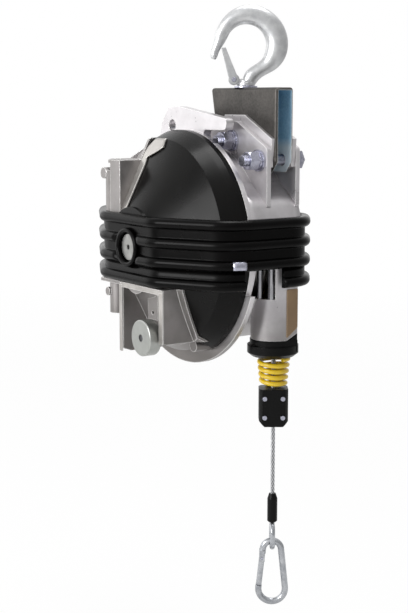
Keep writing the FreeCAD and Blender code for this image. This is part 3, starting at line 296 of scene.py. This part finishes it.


# Zinc-plated sheet steel: dull dark plate outside, mottled a millimetre or two across; inside the
# channel the plating kept its blue passivation, painted much lighter than the shade there allows as a
# painted light, and paler still towards the lower end, also painted light.
def zincPlate(name, light, shade, blueLight, blueShade):
    finish, place, edge = newFinish(name, 1.0)
    mottle = addNode(finish, "ShaderNodeTexNoise", {"Vector": place, "Scale": 1 / (2.6 * mm), "Detail": 6.0,
                                                    "Roughness": 0.7})
    stain = addNode(finish, "ShaderNodeTexNoise", {"Vector": place, "Scale": 1 / (24 * mm), "Detail": 3.0})
    both = addNode(finish, "ShaderNodeMath", {0: stain.outputs["Fac"], 1: 0.6, 2: mottle.outputs["Fac"]},
                   operation="MULTIPLY_ADD")
    part = addNode(finish, "ShaderNodeMapRange", {"Value": both.outputs[0], "From Min": 0.6,
                                                  "From Max": 1.02})
    dull = addNode(finish, "ShaderNodeMix", {0: part.outputs[0], 6: srgb(shade), 7: srgb(light)},
                   data_type="RGBA")
    blue = addNode(finish, "ShaderNodeMix", {0: part.outputs[0], 6: srgb(blueShade), 7: srgb(blueLight)},
                   data_type="RGBA")
    low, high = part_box("hanger_bracket")
    topZ = high.z - hanger["inset"] * mm
    axes = addNode(finish, "ShaderNodeSeparateXYZ", {0: place})
    fromMiddle = addNode(finish, "ShaderNodeMath", {0: axes.outputs["Y"], 1: (low.y + high.y) / 2,
                                                    2: (high.y - low.y) / 2 - hanger["inset"] * mm},
                         operation="COMPARE")
    under = addNode(finish, "ShaderNodeMath", {0: axes.outputs["Z"], 1: topZ}, operation="LESS_THAN")
    within = addNode(finish, "ShaderNodeMath", {0: fromMiddle.outputs[0], 1: under.outputs[0]},
                     operation="MULTIPLY")
    # the channel's inside takes the blue: its own tint, painted bright as a painted light in place of the
    # shade there
    tone = addNode(finish, "ShaderNodeMix", {0: within.outputs[0], 6: dull.outputs[2], 7: blue.outputs[2]},
                   data_type="RGBA")
    foot = addNode(finish, "ShaderNodeMapRange", {"Value": axes.outputs["Z"],
                                                  "From Min": topZ - hanger["paleFrom"] * mm,
                                                  "From Max": topZ - hanger["paleTo"] * mm,
                                                  "To Max": hanger["paleMost"]})
    # painted light: the inside turns pale towards its lower end
    litFoot = addNode(finish, "ShaderNodeMath", {0: foot.outputs[0], 1: within.outputs[0]},
                     operation="MULTIPLY")
    pale = addNode(finish, "ShaderNodeMix", {0: litFoot.outputs[0], 6: tone.outputs[2],
                                             7: srgb(hanger["pale"])}, data_type="RGBA")
    # edges lightened: rubbed wear together with a painted highlight
    wornAndHighlit = wornAndHighlitEdge(finish, 1.3, pale.outputs[2], hanger["wornAndHighlit"])
    metal = addNode(finish, "ShaderNodeMapRange", {"Value": within.outputs[0], "To Min": 0.85,
                                                   "To Max": 0.25})
    bump = addNode(finish, "ShaderNodeBump", {"Height": mottle.outputs["Fac"], "Strength": 0.25,
                                              "Distance": 0.2 * mm, "Normal": edge})
    shader = addNode(finish, "ShaderNodeBsdfPrincipled", {"Base Color": wornAndHighlit, "Roughness": 0.4,
                                                          "Metallic": metal.outputs[0],
                                                          "Normal": bump.outputs[0]})
    addNode(finish, "ShaderNodeOutputMaterial", {0: shader.outputs[0]})
    return finish


# Bright zinc on turned and rolled fasteners: silver with a faint blue cast and fine tool marks.
# A thread, where there is one, is bands a pitch apart along the bolt.
def brightZinc(name, light, shade, rough, threadPitch=0.0):
    finish, place, edge = newFinish(name, 0.5)
    marks = addNode(finish, "ShaderNodeTexNoise", {"Vector": place, "Scale": 1 / (1.8 * mm), "Detail": 4.0,
                                                   "Roughness": 0.65})
    tone = addNode(finish, "ShaderNodeMix", {0: marks.outputs["Fac"], 6: srgb(shade), 7: srgb(light)},
                   data_type="RGBA")
    bump = addNode(finish, "ShaderNodeBump", {"Height": marks.outputs["Fac"], "Strength": 0.15,
                                              "Distance": 0.1 * mm, "Normal": edge})
    if threadPitch:
        thread = addNode(finish, "ShaderNodeTexWave", {"Vector": place, "Scale": waveStep / threadPitch},
                         wave_type="BANDS", bands_direction="Y")
        bump = addNode(finish, "ShaderNodeBump", {"Height": thread.outputs["Fac"], "Strength": 0.9,
                                                  "Distance": 0.9 * mm, "Normal": bump.outputs[0]})
    shader = addNode(finish, "ShaderNodeBsdfPrincipled", {"Base Color": tone.outputs[2], "Metallic": 1.0,
                                                          "Roughness": rough, "Normal": bump.outputs[0]})
    addNode(finish, "ShaderNodeOutputMaterial", {0: shader.outputs[0]})
    return finish


# Black nylon, acetal and rubber as they leave the mould: deep black, dust-fine grain, and a shine
# that smears from wet to satin over a hand's width.
def mouldedBlack(name, base, worn, rough, specular, coat, grain, depth):
    finish, place, edge = newFinish(name, 1.0)
    skin = addNode(finish, "ShaderNodeTexNoise", {"Vector": place, "Scale": 1 / (grain * mm), "Detail": 3.0})
    smear = addNode(finish, "ShaderNodeTexNoise", {"Vector": place, "Scale": 1 / (45 * mm), "Detail": 4.0})
    gloss = addNode(finish, "ShaderNodeMapRange", {"Value": smear.outputs["Fac"], "From Min": 0.3,
                                                   "From Max": 0.7, "To Min": rough - 0.05,
                                                   "To Max": rough + 0.07})
    tone = addNode(finish, "ShaderNodeMix", {0: smear.outputs["Fac"], 6: srgb(base), 7: srgb(worn)},
                   data_type="RGBA")
    bump = addNode(finish, "ShaderNodeBump", {"Height": skin.outputs["Fac"], "Strength": 0.3,
                                              "Distance": depth * mm, "Normal": edge})
    shader = addNode(finish, "ShaderNodeBsdfPrincipled", {"Base Color": tone.outputs[2],
                                                          "Roughness": gloss.outputs[0],
                                                          "Specular IOR Level": specular,
                                                          "Coat Weight": coat, "Coat Roughness": 0.1,
                                                          "Normal": bump.outputs[0]})
    addNode(finish, "ShaderNodeOutputMaterial", {0: shader.outputs[0]})
    return finish


# Powder coat: an even lemon film with orange peel about a millimetre and a half across.
def powderCoat(name, light, shade):
    finish, place, edge = newFinish(name, 0.3)
    peel = addNode(finish, "ShaderNodeTexNoise", {"Vector": place, "Scale": 1 / (1.5 * mm), "Detail": 2.0})
    tone = addNode(finish, "ShaderNodeMix", {0: peel.outputs["Fac"], 6: srgb(shade), 7: srgb(light)},
                   data_type="RGBA")
    bump = addNode(finish, "ShaderNodeBump", {"Height": peel.outputs["Fac"], "Strength": 0.3,
                                              "Distance": 0.2 * mm, "Normal": edge})
    shader = addNode(finish, "ShaderNodeBsdfPrincipled", {"Base Color": tone.outputs[2], "Roughness": 0.34,
                                                          "Coat Weight": 0.4, "Normal": bump.outputs[0]})
    addNode(finish, "ShaderNodeOutputMaterial", {0: shader.outputs[0]})
    return finish


# Turned metal: rings about the turning axis, drawn 0.8 mm apart so that they still show.
def turnedMetal(name, light, shade, rough, centre, metallic=1.0):
    finish, place, edge = newFinish(name, 0.5)
    about = addNode(finish, "ShaderNodeMapping", {"Vector": place, "Location": [-c for c in centre]})
    rings = addNode(finish, "ShaderNodeTexWave", {"Vector": about.outputs[0], "Scale": waveStep / (0.8 * mm),
                                                  "Distortion": 0.6, "Detail": 1.0},
                    wave_type="RINGS", rings_direction="Y")
    wear = addNode(finish, "ShaderNodeTexNoise", {"Vector": place, "Scale": 1 / (9 * mm), "Detail": 4.0})
    tone = addNode(finish, "ShaderNodeMix", {0: wear.outputs["Fac"], 6: srgb(shade), 7: srgb(light)},
                   data_type="RGBA")
    bump = addNode(finish, "ShaderNodeBump", {"Height": rings.outputs["Fac"], "Strength": 0.2,
                                              "Distance": 0.08 * mm, "Normal": edge})
    shader = addNode(finish, "ShaderNodeBsdfPrincipled", {"Base Color": tone.outputs[2], "Roughness": rough,
                                                          "Metallic": metallic, "Normal": bump.outputs[0]})
    addNode(finish, "ShaderNodeOutputMaterial", {0: shader.outputs[0]})
    return finish


def centreOf(name):
    low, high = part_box(name)
    return [(a + b) / 2 for a, b in zip(low, high)]


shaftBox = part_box("arbor_shaft")
shaftMiddle = centreOf("arbor_shaft")
drumAxis = [shaftMiddle[0], 0.0, shaftMiddle[2]]
knobMiddle = centreOf("lock_knob")

# the hook is pale and matt, the snap hook's wire is darker and glossier, the hanger's sheet is dull and
# dark, and the fasteners are bright with a blue cast
hookZinc = galvanisedForging("galvanised_forged_steel", light="#d6d7d7", shade="#bcbdbf", rough=0.36)
snapZinc = galvanisedForging("bright_galvanised_wire", light="#c3c5c8", shade="#9da0a5", rough=0.2)
plateZinc = zincPlate("zinc_plated_sheet_steel", light="#55524f", shade="#3c3a38", blueLight="#aed2e6",
                      blueShade="#86b2cc")
boltZinc = brightZinc("bright_zinc_fasteners", light="#d6d6e2", shade="#85879a", rough=0.22)
threadZinc = brightZinc("bright_zinc_thread", light="#cfcfda", shade="#75778a", rough=0.24,
                        threadPitch=1.75 * mm)

# the housing is blasted bright, the frame is raw grey casting whose tone is lowered further as a painted
# shade for the lock box's dark inside, its edges are machined, and the plate on the guide is anodised
# a brown bronze
housingCast = castAluminium("blasted_cast_aluminium", light="#dad7d9", shade="#c4c1c3", dull="#57524c",
                            bright="#f4f3f2", rough=0.32, grit=0.16)
# painted shade: the frame's grey is darkened to stand in for the shade inside the lock box
frameCast = castAluminium("raw_cast_aluminium_painted_shade", light="#989493", shade="#827f7d", dull="#74706e",
                          bright="#f0eeec", rough=0.38, grit=0.18)
edgeCast = castAluminium("machined_cast_aluminium", light="#bdbab6", shade="#a29e9a", dull="#a29e9a",
                         bright="#e8e6e4", rough=0.36, grit=0.14)
plateBronze = castAluminium("bronze_anodised_plate", light="#9a8266", shade="#8a745b", dull="#86705a",
                            bright="#b7a38a", rough=0.4, grit=0.05)

# nylon has the wettest shine, rubber a weaker and sharper one over a finer grain, acetal is satin
coverNylon = mouldedBlack("black_moulded_nylon", base="#020202", worn="#080706", rough=0.27, specular=0.12,
                          coat=0.04, grain=1.4, depth=0.04)
bandRubber = mouldedBlack("black_epdm_rubber", base="#020202", worn="#060505", rough=0.24, specular=0.08,
                          coat=0.02, grain=0.7, depth=0.08)
blackAcetal = mouldedBlack("black_acetal", base="#040404", worn="#0c0c0c", rough=0.3, specular=0.14,
                           coat=0.0, grain=0.6, depth=0.05)
yellowCoat = powderCoat("yellow_powder_coat", light="#e6c81a", shade="#cda60c")

# light, shade and roughness: a satin drum and knob, a brighter ground shaft and its disc, a blue-black
# spring strip, a golden wheel and a dark screw
drumCast = turnedMetal("turned_cast_aluminium", "#d6d3d0", "#a19d99", 0.36, drumAxis)
shaftSteel = turnedMetal("ground_steel", "#dcdce0", "#9b9ca0", 0.24, drumAxis)
discSteel = turnedMetal("turned_bright_steel", "#b4b4b1", "#70706e", 0.3, drumAxis)
stripSteel = turnedMetal("blued_spring_steel", "#4c5566", "#262b36", 0.32, drumAxis)
wheelBronze = turnedMetal("cast_bronze", "#b98a4b", "#7e5a2d", 0.34, drumAxis)
knobAluminium = turnedMetal("turned_anodised_aluminium", "#b0b2ae", "#9b9d99", 0.34, knobMiddle,
                            metallic=0.85)
screwSteel = turnedMetal("blackened_steel_screw", "#77777a", "#3d3d40", 0.3, knobMiddle)

dress("suspension_hook hook_latch", hookZinc)
dress("snap_hook snap_gate rope_eye", snapZinc)
dress("hanger_bracket", plateZinc)
dress("hook_nut latch_pin swivel_washer hanger_nuts hanger_washers rear_cover_screws gate_pin "
      "stop_block_screws", boltZinc)
dress("knob_screw", screwSteel)
dress("hanger_bolts", threadZinc)
dress("drum_housing rear_cover front_cover_left front_spacer rear_spacer", housingCast)
dress("gear_frame", frameCast)
dress("front_cover_right", coverNylon)
dress("guide_end_ring stop_block_front stop_block_rear rope_sleeve", blackAcetal)
dress("bumper_spring", yellowCoat)
dress("cable_drum", drumCast)
dress("spring_arbor worm_screw lock_plunger drum_bearings rear_bearing guide_rollers", shaftSteel)
dress("lock_knob", knobAluminium)
dress("worm_wheel", wheelBronze)
dress("power_spring", stripSteel)
print("finishes on the CAD pieces")

# Pieces below are drawn in mm with the drum's axis at x = z = 0 and the cover's rim plane at y = 0.
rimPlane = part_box("front_cover_right")[1].y
origin = np.array([drumAxis[0], rimPlane, drumAxis[2]])


def toFrame(points):
    return points * mm + origin


def onHousing(piece):
    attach(piece, "housing")
    return piece


def shell(name, outer, inner, finish, slotName):
    # outer and inner are (u, v, 3) grids of the two faces; each row of the one is joined to the same
    # row of the other, which gives a closed ring, and the first and last rings are capped
    rings = np.concatenate([outer, inner[:, ::-1]], 1)
    return onHousing(gridPiece(name, toFrame(rings), finish, closedV=True, caps=True))


def lathe(name, profile, finish, ring=False):
    # profile is (radius, y) pairs turned about the drum's axis: a ring's profile closes on itself and
    # is smooth, any other runs from one pole to the other and has sharp edges
    angle = np.linspace(0, 2 * np.pi, 96, endpoint=False)
    radius, y = np.array(profile, float).T[:, :, None]
    points = np.stack([radius * np.cos(angle), y + 0 * angle, radius * np.sin(angle)], -1)
    return gridPiece(name, toFrame(points), finish, closedU=ring, closedV=True, caps=not ring, smooth=ring)


# the black cover's face: how far forward it stands at each radius, and the plate that lies on it,
# whose left and right edges are given at each height
cover = {"radii": (45, 120, 127, 130), "fronts": (-68, -29, -14, -7), "lift": 2.4, "sunk": 0.4,
         "heights": (34, 92, 99, 105.5, 111, 120.5), "left": (-26, -26, -27, -25, -22, -11),
         "right": (-13, -13, -15, 1, 10.5, 8), "columns": 12, "rows": 90}


def makeCoverEdge():
    # between a left and a right edge that vary with height, lifted off the cover by its thickness
    z = np.linspace(cover["heights"][0], cover["heights"][-1], cover["rows"])[:, None]
    leftEdge, rightEdge = (np.interp(z, cover["heights"], cover[side]) for side in ("left", "right"))
    x = leftEdge + (rightEdge - leftEdge) * np.linspace(0, 1, cover["columns"])
    z = z + 0 * x
    front = np.interp(np.hypot(x, z), cover["radii"], cover["fronts"])
    outer = np.stack([x, front - cover["lift"], z], -1)
    inner = np.stack([x, front + cover["sunk"], z], -1)
    shell("cover_edge_plate", outer, inner, edgeCast, "cast_aluminium")


makeCoverEdge()
print("cover edge")

# The rubber band. corners: (x, y) of its right half from above, rounded by bend; window: the stretch
# of y on the right side where the lowest rib is cut away; the ribs fade out round the boss in front
band = {"corners": ((52, -71), (124, -31.5), (131.5, -5), (131.5, 68), (97, 95)), "bend": 30, "step": 3.0,
        "sheet": 4, "rib": 5.95, "foot": 0.7, "pitch": 21.7, "ribs": 4, "middle": -1.5, "window": (-9, 41),
        "rightSide": 100, "frontSide": -50, "boss": 21, "fade": 0.3}
bandFront = band["corners"][0][1] - band["sheet"]


def unit(vectors):
    return vectors / np.linalg.norm(vectors, axis=-1, keepdims=True)


def bandPath():
    # the band from above, as points and outward normals: an arc of the bend in each corner, about the
    # middle that lies bend away from both runs, and a straight run to the next arc
    half = np.array(band["corners"], float)
    corners = np.concatenate([half, half[::-1] * (-1, 1)])
    before, after = (unit(np.roll(corners, shift, 0) - corners) for shift in (1, -1))
    halfAngle = np.arccos((before * after).sum(1, keepdims=True)) / 2
    middles = corners + unit(before + after) * band["bend"] / np.sin(halfAngle)
    reach = band["bend"] / np.tan(halfAngle)
    starts, ends = corners + before * reach, corners + after * reach
    points, normals = [], []
    for start, middle, end, following in zip(starts, middles, ends, np.roll(starts, -1, 0)):
        first, last = unit(start - middle), unit(end - middle)
        turn = math.acos(first @ last)
        t = np.linspace(0, 1, max(3, int(band["bend"] * turn / band["step"]) + 1))[:, None]
        arc = (np.sin((1 - t) * turn) * first + np.sin(t * turn) * last) / math.sin(turn)
        t = np.linspace(0, 1, int(np.linalg.norm(following - end) / band["step"]) + 1)[1:-1, None]
        points += [middle + arc * band["bend"], end + (following - end) * t]
        normals += [arc, last + 0 * t]
    return np.concatenate(points), np.concatenate(normals)


bandPoints, bandNormals = bandPath()


def onRightSide(low, high):
    # which of the path's points lie on the right side between two places along y
    x, y = bandPoints.T
    return (x > band["rightSide"]) & (y > low) & (y < high)


def ribHeight(k):
    return band["middle"] + (k - (band["ribs"] - 1) / 2) * band["pitch"]


def risen(flat, z):
    # (u, v, 2) places from above, with their heights as the third coordinate
    return np.concatenate([flat, np.broadcast_to(z, flat.shape[:2])[..., None]], -1)


def bandSweep(name, rows, ribHeights, low, high, caps):
    # the outer face is the sheet with a half-round rib at each height, carried along the path; every
    # point stands off the path by the sheet and by its rib's rise, which fades to none at the boss
    arc = np.radians(np.linspace(-90, 90, 13))
    foot = band["rib"] + band["foot"]
    ribZ = np.concatenate([[-foot], band["rib"] * np.sin(arc), [foot]])
    ribRise = np.concatenate([[0], band["rib"] * np.cos(arc), [0]])
    z = np.concatenate([[low], np.clip(np.add.outer(ribHeights, ribZ), low, high).ravel(), [high]])
    rise = np.concatenate([[0], np.tile(ribRise, len(ribHeights)), [0]])
    points, normals = bandPoints[rows], bandNormals[rows]
    near = np.hypot(points[:, :1], z) / band["boss"]
    fade = np.where(points[:, 1:] < band["frontSide"], np.clip((near - 1) / band["fade"], 0, 1), 1.0)
    fade = fade * fade * (3 - 2 * fade)
    off = band["sheet"] + rise * fade
    outer = risen(points[:, None] + normals[:, None] * off[..., None], z)
    inner = risen(np.repeat(points[:, None], 2, 1), [low, high])
    rings = np.concatenate([outer, inner[:, ::-1]], 1)
    piece = gridPiece(name, toFrame(rings), bandRubber, closedU=not caps, closedV=True, caps=caps)
    return onHousing(piece)


def makeBand():
    heights = ribHeight(np.arange(band["ribs"]))
    cut = heights[1] - band["rib"]
    every = np.arange(len(bandPoints))
    upper = bandSweep("bumper_band_upper", every, heights[1:], cut, heights[-1] + band["rib"], False)
    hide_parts("bumper_band")
    window = onRightSide(*band["window"])
    rows = np.roll(every, -int(np.flatnonzero(window)[-1]) - 1)     # starts just behind the window
    rows = rows[~window[rows]]
    bandSweep("bumper_band_lower_rib", rows, heights[:1], heights[0] - band["rib"], cut, True)


makeBand()
print("bumper band")

bossRing = {"hole": 16.5, "outer": 22, "height": 5, "sunk": 1, "outerChamfer": (1, 2),
            "innerChamfer": (1.5, 1.5)}                             # chamfers: across and back


def makeBossRing():
    hole, outer, top, foot = (bossRing["hole"], bossRing["outer"], bandFront - bossRing["height"],
                              bandFront + bossRing["sunk"])
    (outerAcross, outerBack), (innerAcross, innerBack) = bossRing["outerChamfer"], bossRing["innerChamfer"]
    profile = [(hole, foot), (outer, foot), (outer, top + outerBack), (outer - outerAcross, top),
               (hole + innerAcross, top), (hole, top + innerBack)]
    onHousing(lathe("band_boss_ring", profile, bandRubber, ring=True))


makeBossRing()

shaftEnd = {"pole": 0.01, "hole": 2.6, "mouth": 2.9, "face": 14.6, "disc": 15.4, "shank": 10, "depth": 0.6,
            "edge": 0.2, "thick": 5}


def makeShaftEnd():
    # a disc with a centre hole and a chamfered edge, on a plain shank that runs to the shaft's back
    front, shaftBack = bandFront - shaftEnd["depth"], (shaftBox[1].y - rimPlane) / mm
    hollow, edge, behind = (bandFront + shaftEnd[key] for key in ("depth", "edge", "thick"))
    profile = [(shaftEnd["pole"], hollow), (shaftEnd["hole"], hollow), (shaftEnd["mouth"], front),
               (shaftEnd["face"], front), (shaftEnd["disc"], edge), (shaftEnd["disc"], behind),
               (shaftEnd["shank"], behind), (shaftEnd["shank"], shaftBack), (shaftEnd["pole"], shaftBack)]
    shaft = lathe("arbor_shaft_turned", profile, discSteel)
    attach(shaft, "arbor")
    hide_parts("arbor_shaft")


makeShaftEnd()
print("boss ring and shaft end")

clasp = {"from": -25, "to": -5, "rib": 1, "over": 0.15, "thick": 0.7, "wrap": (-40, 85)}


def makeClasp():
    # a strip of sheet that grips the second rib from below, bent to the rib's half round
    rows = onRightSide(clasp["from"], clasp["to"])
    points, normals = bandPoints[rows], bandNormals[rows]
    arc = np.radians(np.linspace(*clasp["wrap"], 15))
    faces = []
    for radius in (band["rib"] + clasp["over"] + clasp["thick"], band["rib"] + clasp["over"]):
        off = band["sheet"] + radius * np.cos(arc)
        flat = points[:, None] + normals[:, None] * off[None, :, None]
        faces.append(risen(flat, ribHeight(clasp["rib"]) + radius * np.sin(arc)))
    shell("band_clasp", *faces, boltZinc, "zinc_fastener")


makeClasp()

# The case bulges to the right under the ears, at the first radius up to the second angle from the
# side, in degrees, and then falls to the second radius at the third.
shoulder = {"angles": (-4, 22, 40), "radii": (126.6, 115.3), "from": 5.5, "to": 74.8, "wall": 1.5,
            "rows": 60, "columns": 8}


def makeShoulder():
    # radius eased between the named angles, swept from the rim flange to the back of the case
    first, bend, last = shoulder["angles"]
    full, small = shoulder["radii"]
    angle = np.linspace(first, last, shoulder["rows"])
    t = np.clip((angle - bend) / (last - bend), 0, 1)
    radius = full + (small - full) * t * t * (3 - 2 * t)
    y = np.linspace(shoulder["from"], shoulder["to"], shoulder["columns"])
    faces = []
    for inward in (0, shoulder["wall"]):
        x, z = ((radius - inward) * wave(np.radians(angle)) for wave in (np.cos, np.sin))
        faces.append(np.stack([x[:, None] + 0 * y, y + 0 * x[:, None], z[:, None] + 0 * y], -1))
    shell("case_shoulder", *faces, housingCast, "cast_aluminium")


makeShoulder()
print("clasp and case shoulder")

# Rims on the front of the lock box, and the plate on the guide's flat side, which is left bare: each
# is (x, y, z) of the low and the high corner, how much its foot rises to the back, and its finish
flats = {"box_rim_top": ((-24, -72, -48), (66, -71.05, -42), 0, edgeCast),
         "box_rim_right": ((58, -72.1, -103), (66, -71.05, -45), 0, edgeCast),
         "box_rim_left": ((-27, -72.1, -123), (-21, -71.05, -45), 0, edgeCast),
         "guide_plate": ((123, 54.6, -99), (124.3, 69.7, -44), 11, plateBronze)}
flatCorner = 1.5


def makeFlat(name, low, high, rise, finish):
    # a slab with rounded corners, as a ring of four quarter circles swept over its thickness
    low, high = np.array(low, float), np.array(high, float)
    thin = int(np.argmin(high - low))
    across = [k for k in range(3) if k != thin]
    sides = np.array([(1, 1), (-1, 1), (-1, -1), (1, -1)])
    middles = np.where(sides > 0, high[across], low[across]) - sides * flatCorner
    angle = np.radians(np.linspace(0, 90, 6) + 90 * np.arange(4)[:, None])
    ring = middles[:, None] + flatCorner * np.stack([np.cos(angle), np.sin(angle)], -1)
    ring = ring.reshape(-1, 2)
    grid = np.zeros((2, len(ring), 3))
    grid[..., across] = ring
    grid[..., thin] = [[low[thin]], [high[thin]]]
    foot = grid[..., 2] < (low[2] + high[2]) / 2
    grid[..., 2] += np.where(foot, rise * (grid[..., 1] - low[1]) / (high[1] - low[1]), 0)
    piece = gridPiece(name, toFrame(grid), finish, closedV=True, caps=True, smooth=False)
    onHousing(piece)


for name, sizes in flats.items():
    makeFlat(name, *sizes)
print("rims and guide plate")

lamps = {  # name: (right, up, towards the camera, in metres), size in metres, watts
    "keySoftbox": ((-1.35, 0.35, 1.15), 0.9, 20),
    "edgeSoftbox": ((-1.6, 0.5, -0.7), 1.4, 5),
    "topSoftbox": ((0.2, 1.6, 0.1), 0.8, 14),
}


def hangLamps():
    for name, ((rightward, upward, forward), size, watts) in lamps.items():
        data = bpy.data.lights.new(name, "AREA")
        data.size, data.energy = size, watts
        lamp = bpy.data.objects.new(name, data)
        lamp.location = aim + right * rightward + up * upward + back * forward
        lamp.rotation_euler = (lamp.location - aim).to_track_quat("Z", "Y").to_euler()
        bpy.context.scene.collection.objects.link(lamp)


hangLamps()

# lengths of the room in metres; dimSide is towards the right, the camera and up
room = {"ambient": 0.5, "dimSide": (0.86, 0.35, -0.37), "dim": 0.5, "floorGlow": 0.94, "fade": (0.8, 3.0),
        "drop": 0.06, "floorHalf": 8.0}


def lightRoom():
    # The room as metal sees it: a white wall behind and to the left, dimmer to the right and below.
    # The eye sees plain white, and matt pieces are lit by an even ambient light.
    world = bpy.data.worlds.new("studio")
    bpy.context.scene.world = world
    world.use_nodes = True
    world.node_tree.nodes.clear()
    shiny = addNode(world, "ShaderNodeLightPath").outputs["Is Glossy Ray"]
    rightward, forward, upward = room["dimSide"]
    dimSide = right * rightward + back * forward + Vector((0, 0, 1)) * upward
    toward = addNode(world, "ShaderNodeTexCoord").outputs["Generated"]
    side = addNode(world, "ShaderNodeVectorMath", {0: toward, 1: dimSide.normalized()},
                   operation="DOT_PRODUCT")
    wall = addNode(world, "ShaderNodeMapRange", {"Value": side.outputs["Value"], "From Min": -0.2,
                                                 "From Max": 0.8, "To Min": 1.0, "To Max": room["dim"]},
                   interpolation_type="SMOOTHSTEP")
    level = addNode(world, "ShaderNodeMix", {0: shiny, 2: room["ambient"], 3: wall.outputs[0]})
    shown = addNode(world, "ShaderNodeMix", {0: seenDirectly(world), 2: level.outputs[0], 3: 1.0})
    sky = addNode(world, "ShaderNodeBackground", {"Color": (1, 1, 1, 1), "Strength": shown.outputs[0]})
    addNode(world, "ShaderNodeOutputWorld", {0: sky.outputs[0]})


# White paper: a matt floor that is near white to the eye, keeps the shadow under the object and fades
# to pure white away from it. Metal sees it as it is lit.
def whitePaper():
    finish, place, _ = newFinish("white_paper_floor", 0.1)
    near, far = room["fade"]
    flat = addNode(finish, "ShaderNodeVectorMath", {0: place, 1: (1, 1, 0)}, operation="MULTIPLY")
    away = addNode(finish, "ShaderNodeVectorMath", {0: flat.outputs[0]}, operation="LENGTH")
    glowing = addNode(finish, "ShaderNodeMapRange", {"Value": away.outputs["Value"], "From Min": near,
                                                     "From Max": far, "To Min": room["floorGlow"],
                                                     "To Max": 1.0})
    part = addNode(finish, "ShaderNodeMath", {0: seenDirectly(finish), 1: glowing.outputs[0]},
                   operation="MULTIPLY")
    fibre = addNode(finish, "ShaderNodeTexNoise", {"Vector": place, "Scale": 1 / (4 * mm)})
    tone = addNode(finish, "ShaderNodeMix", {0: fibre.outputs["Fac"], 6: srgb("#f6f6f6"), 7: srgb("#f2f2f2")},
                   data_type="RGBA")
    paper = addNode(finish, "ShaderNodeBsdfDiffuse", {"Color": tone.outputs[2]})
    glow = addNode(finish, "ShaderNodeEmission", {"Color": (1, 1, 1, 1), "Strength": 1.0})
    both = addNode(finish, "ShaderNodeMixShader", {0: part.outputs[0], 1: paper.outputs[0],
                                                   2: glow.outputs[0]})
    addNode(finish, "ShaderNodeOutputMaterial", {0: both.outputs[0]})
    return finish


def layFloor():
    # a flat square under the lowest point, at one height
    ends = np.array([-room["floorHalf"], room["floorHalf"]])
    x, y = np.meshgrid(ends, ends, indexing="ij")
    z = np.full_like(x, cadBox[0][2] - room["drop"])
    gridPiece("floor", np.stack([x, y, z], -1), whitePaper())


lightRoom()
layFloor()
print("lamps, room and floor")
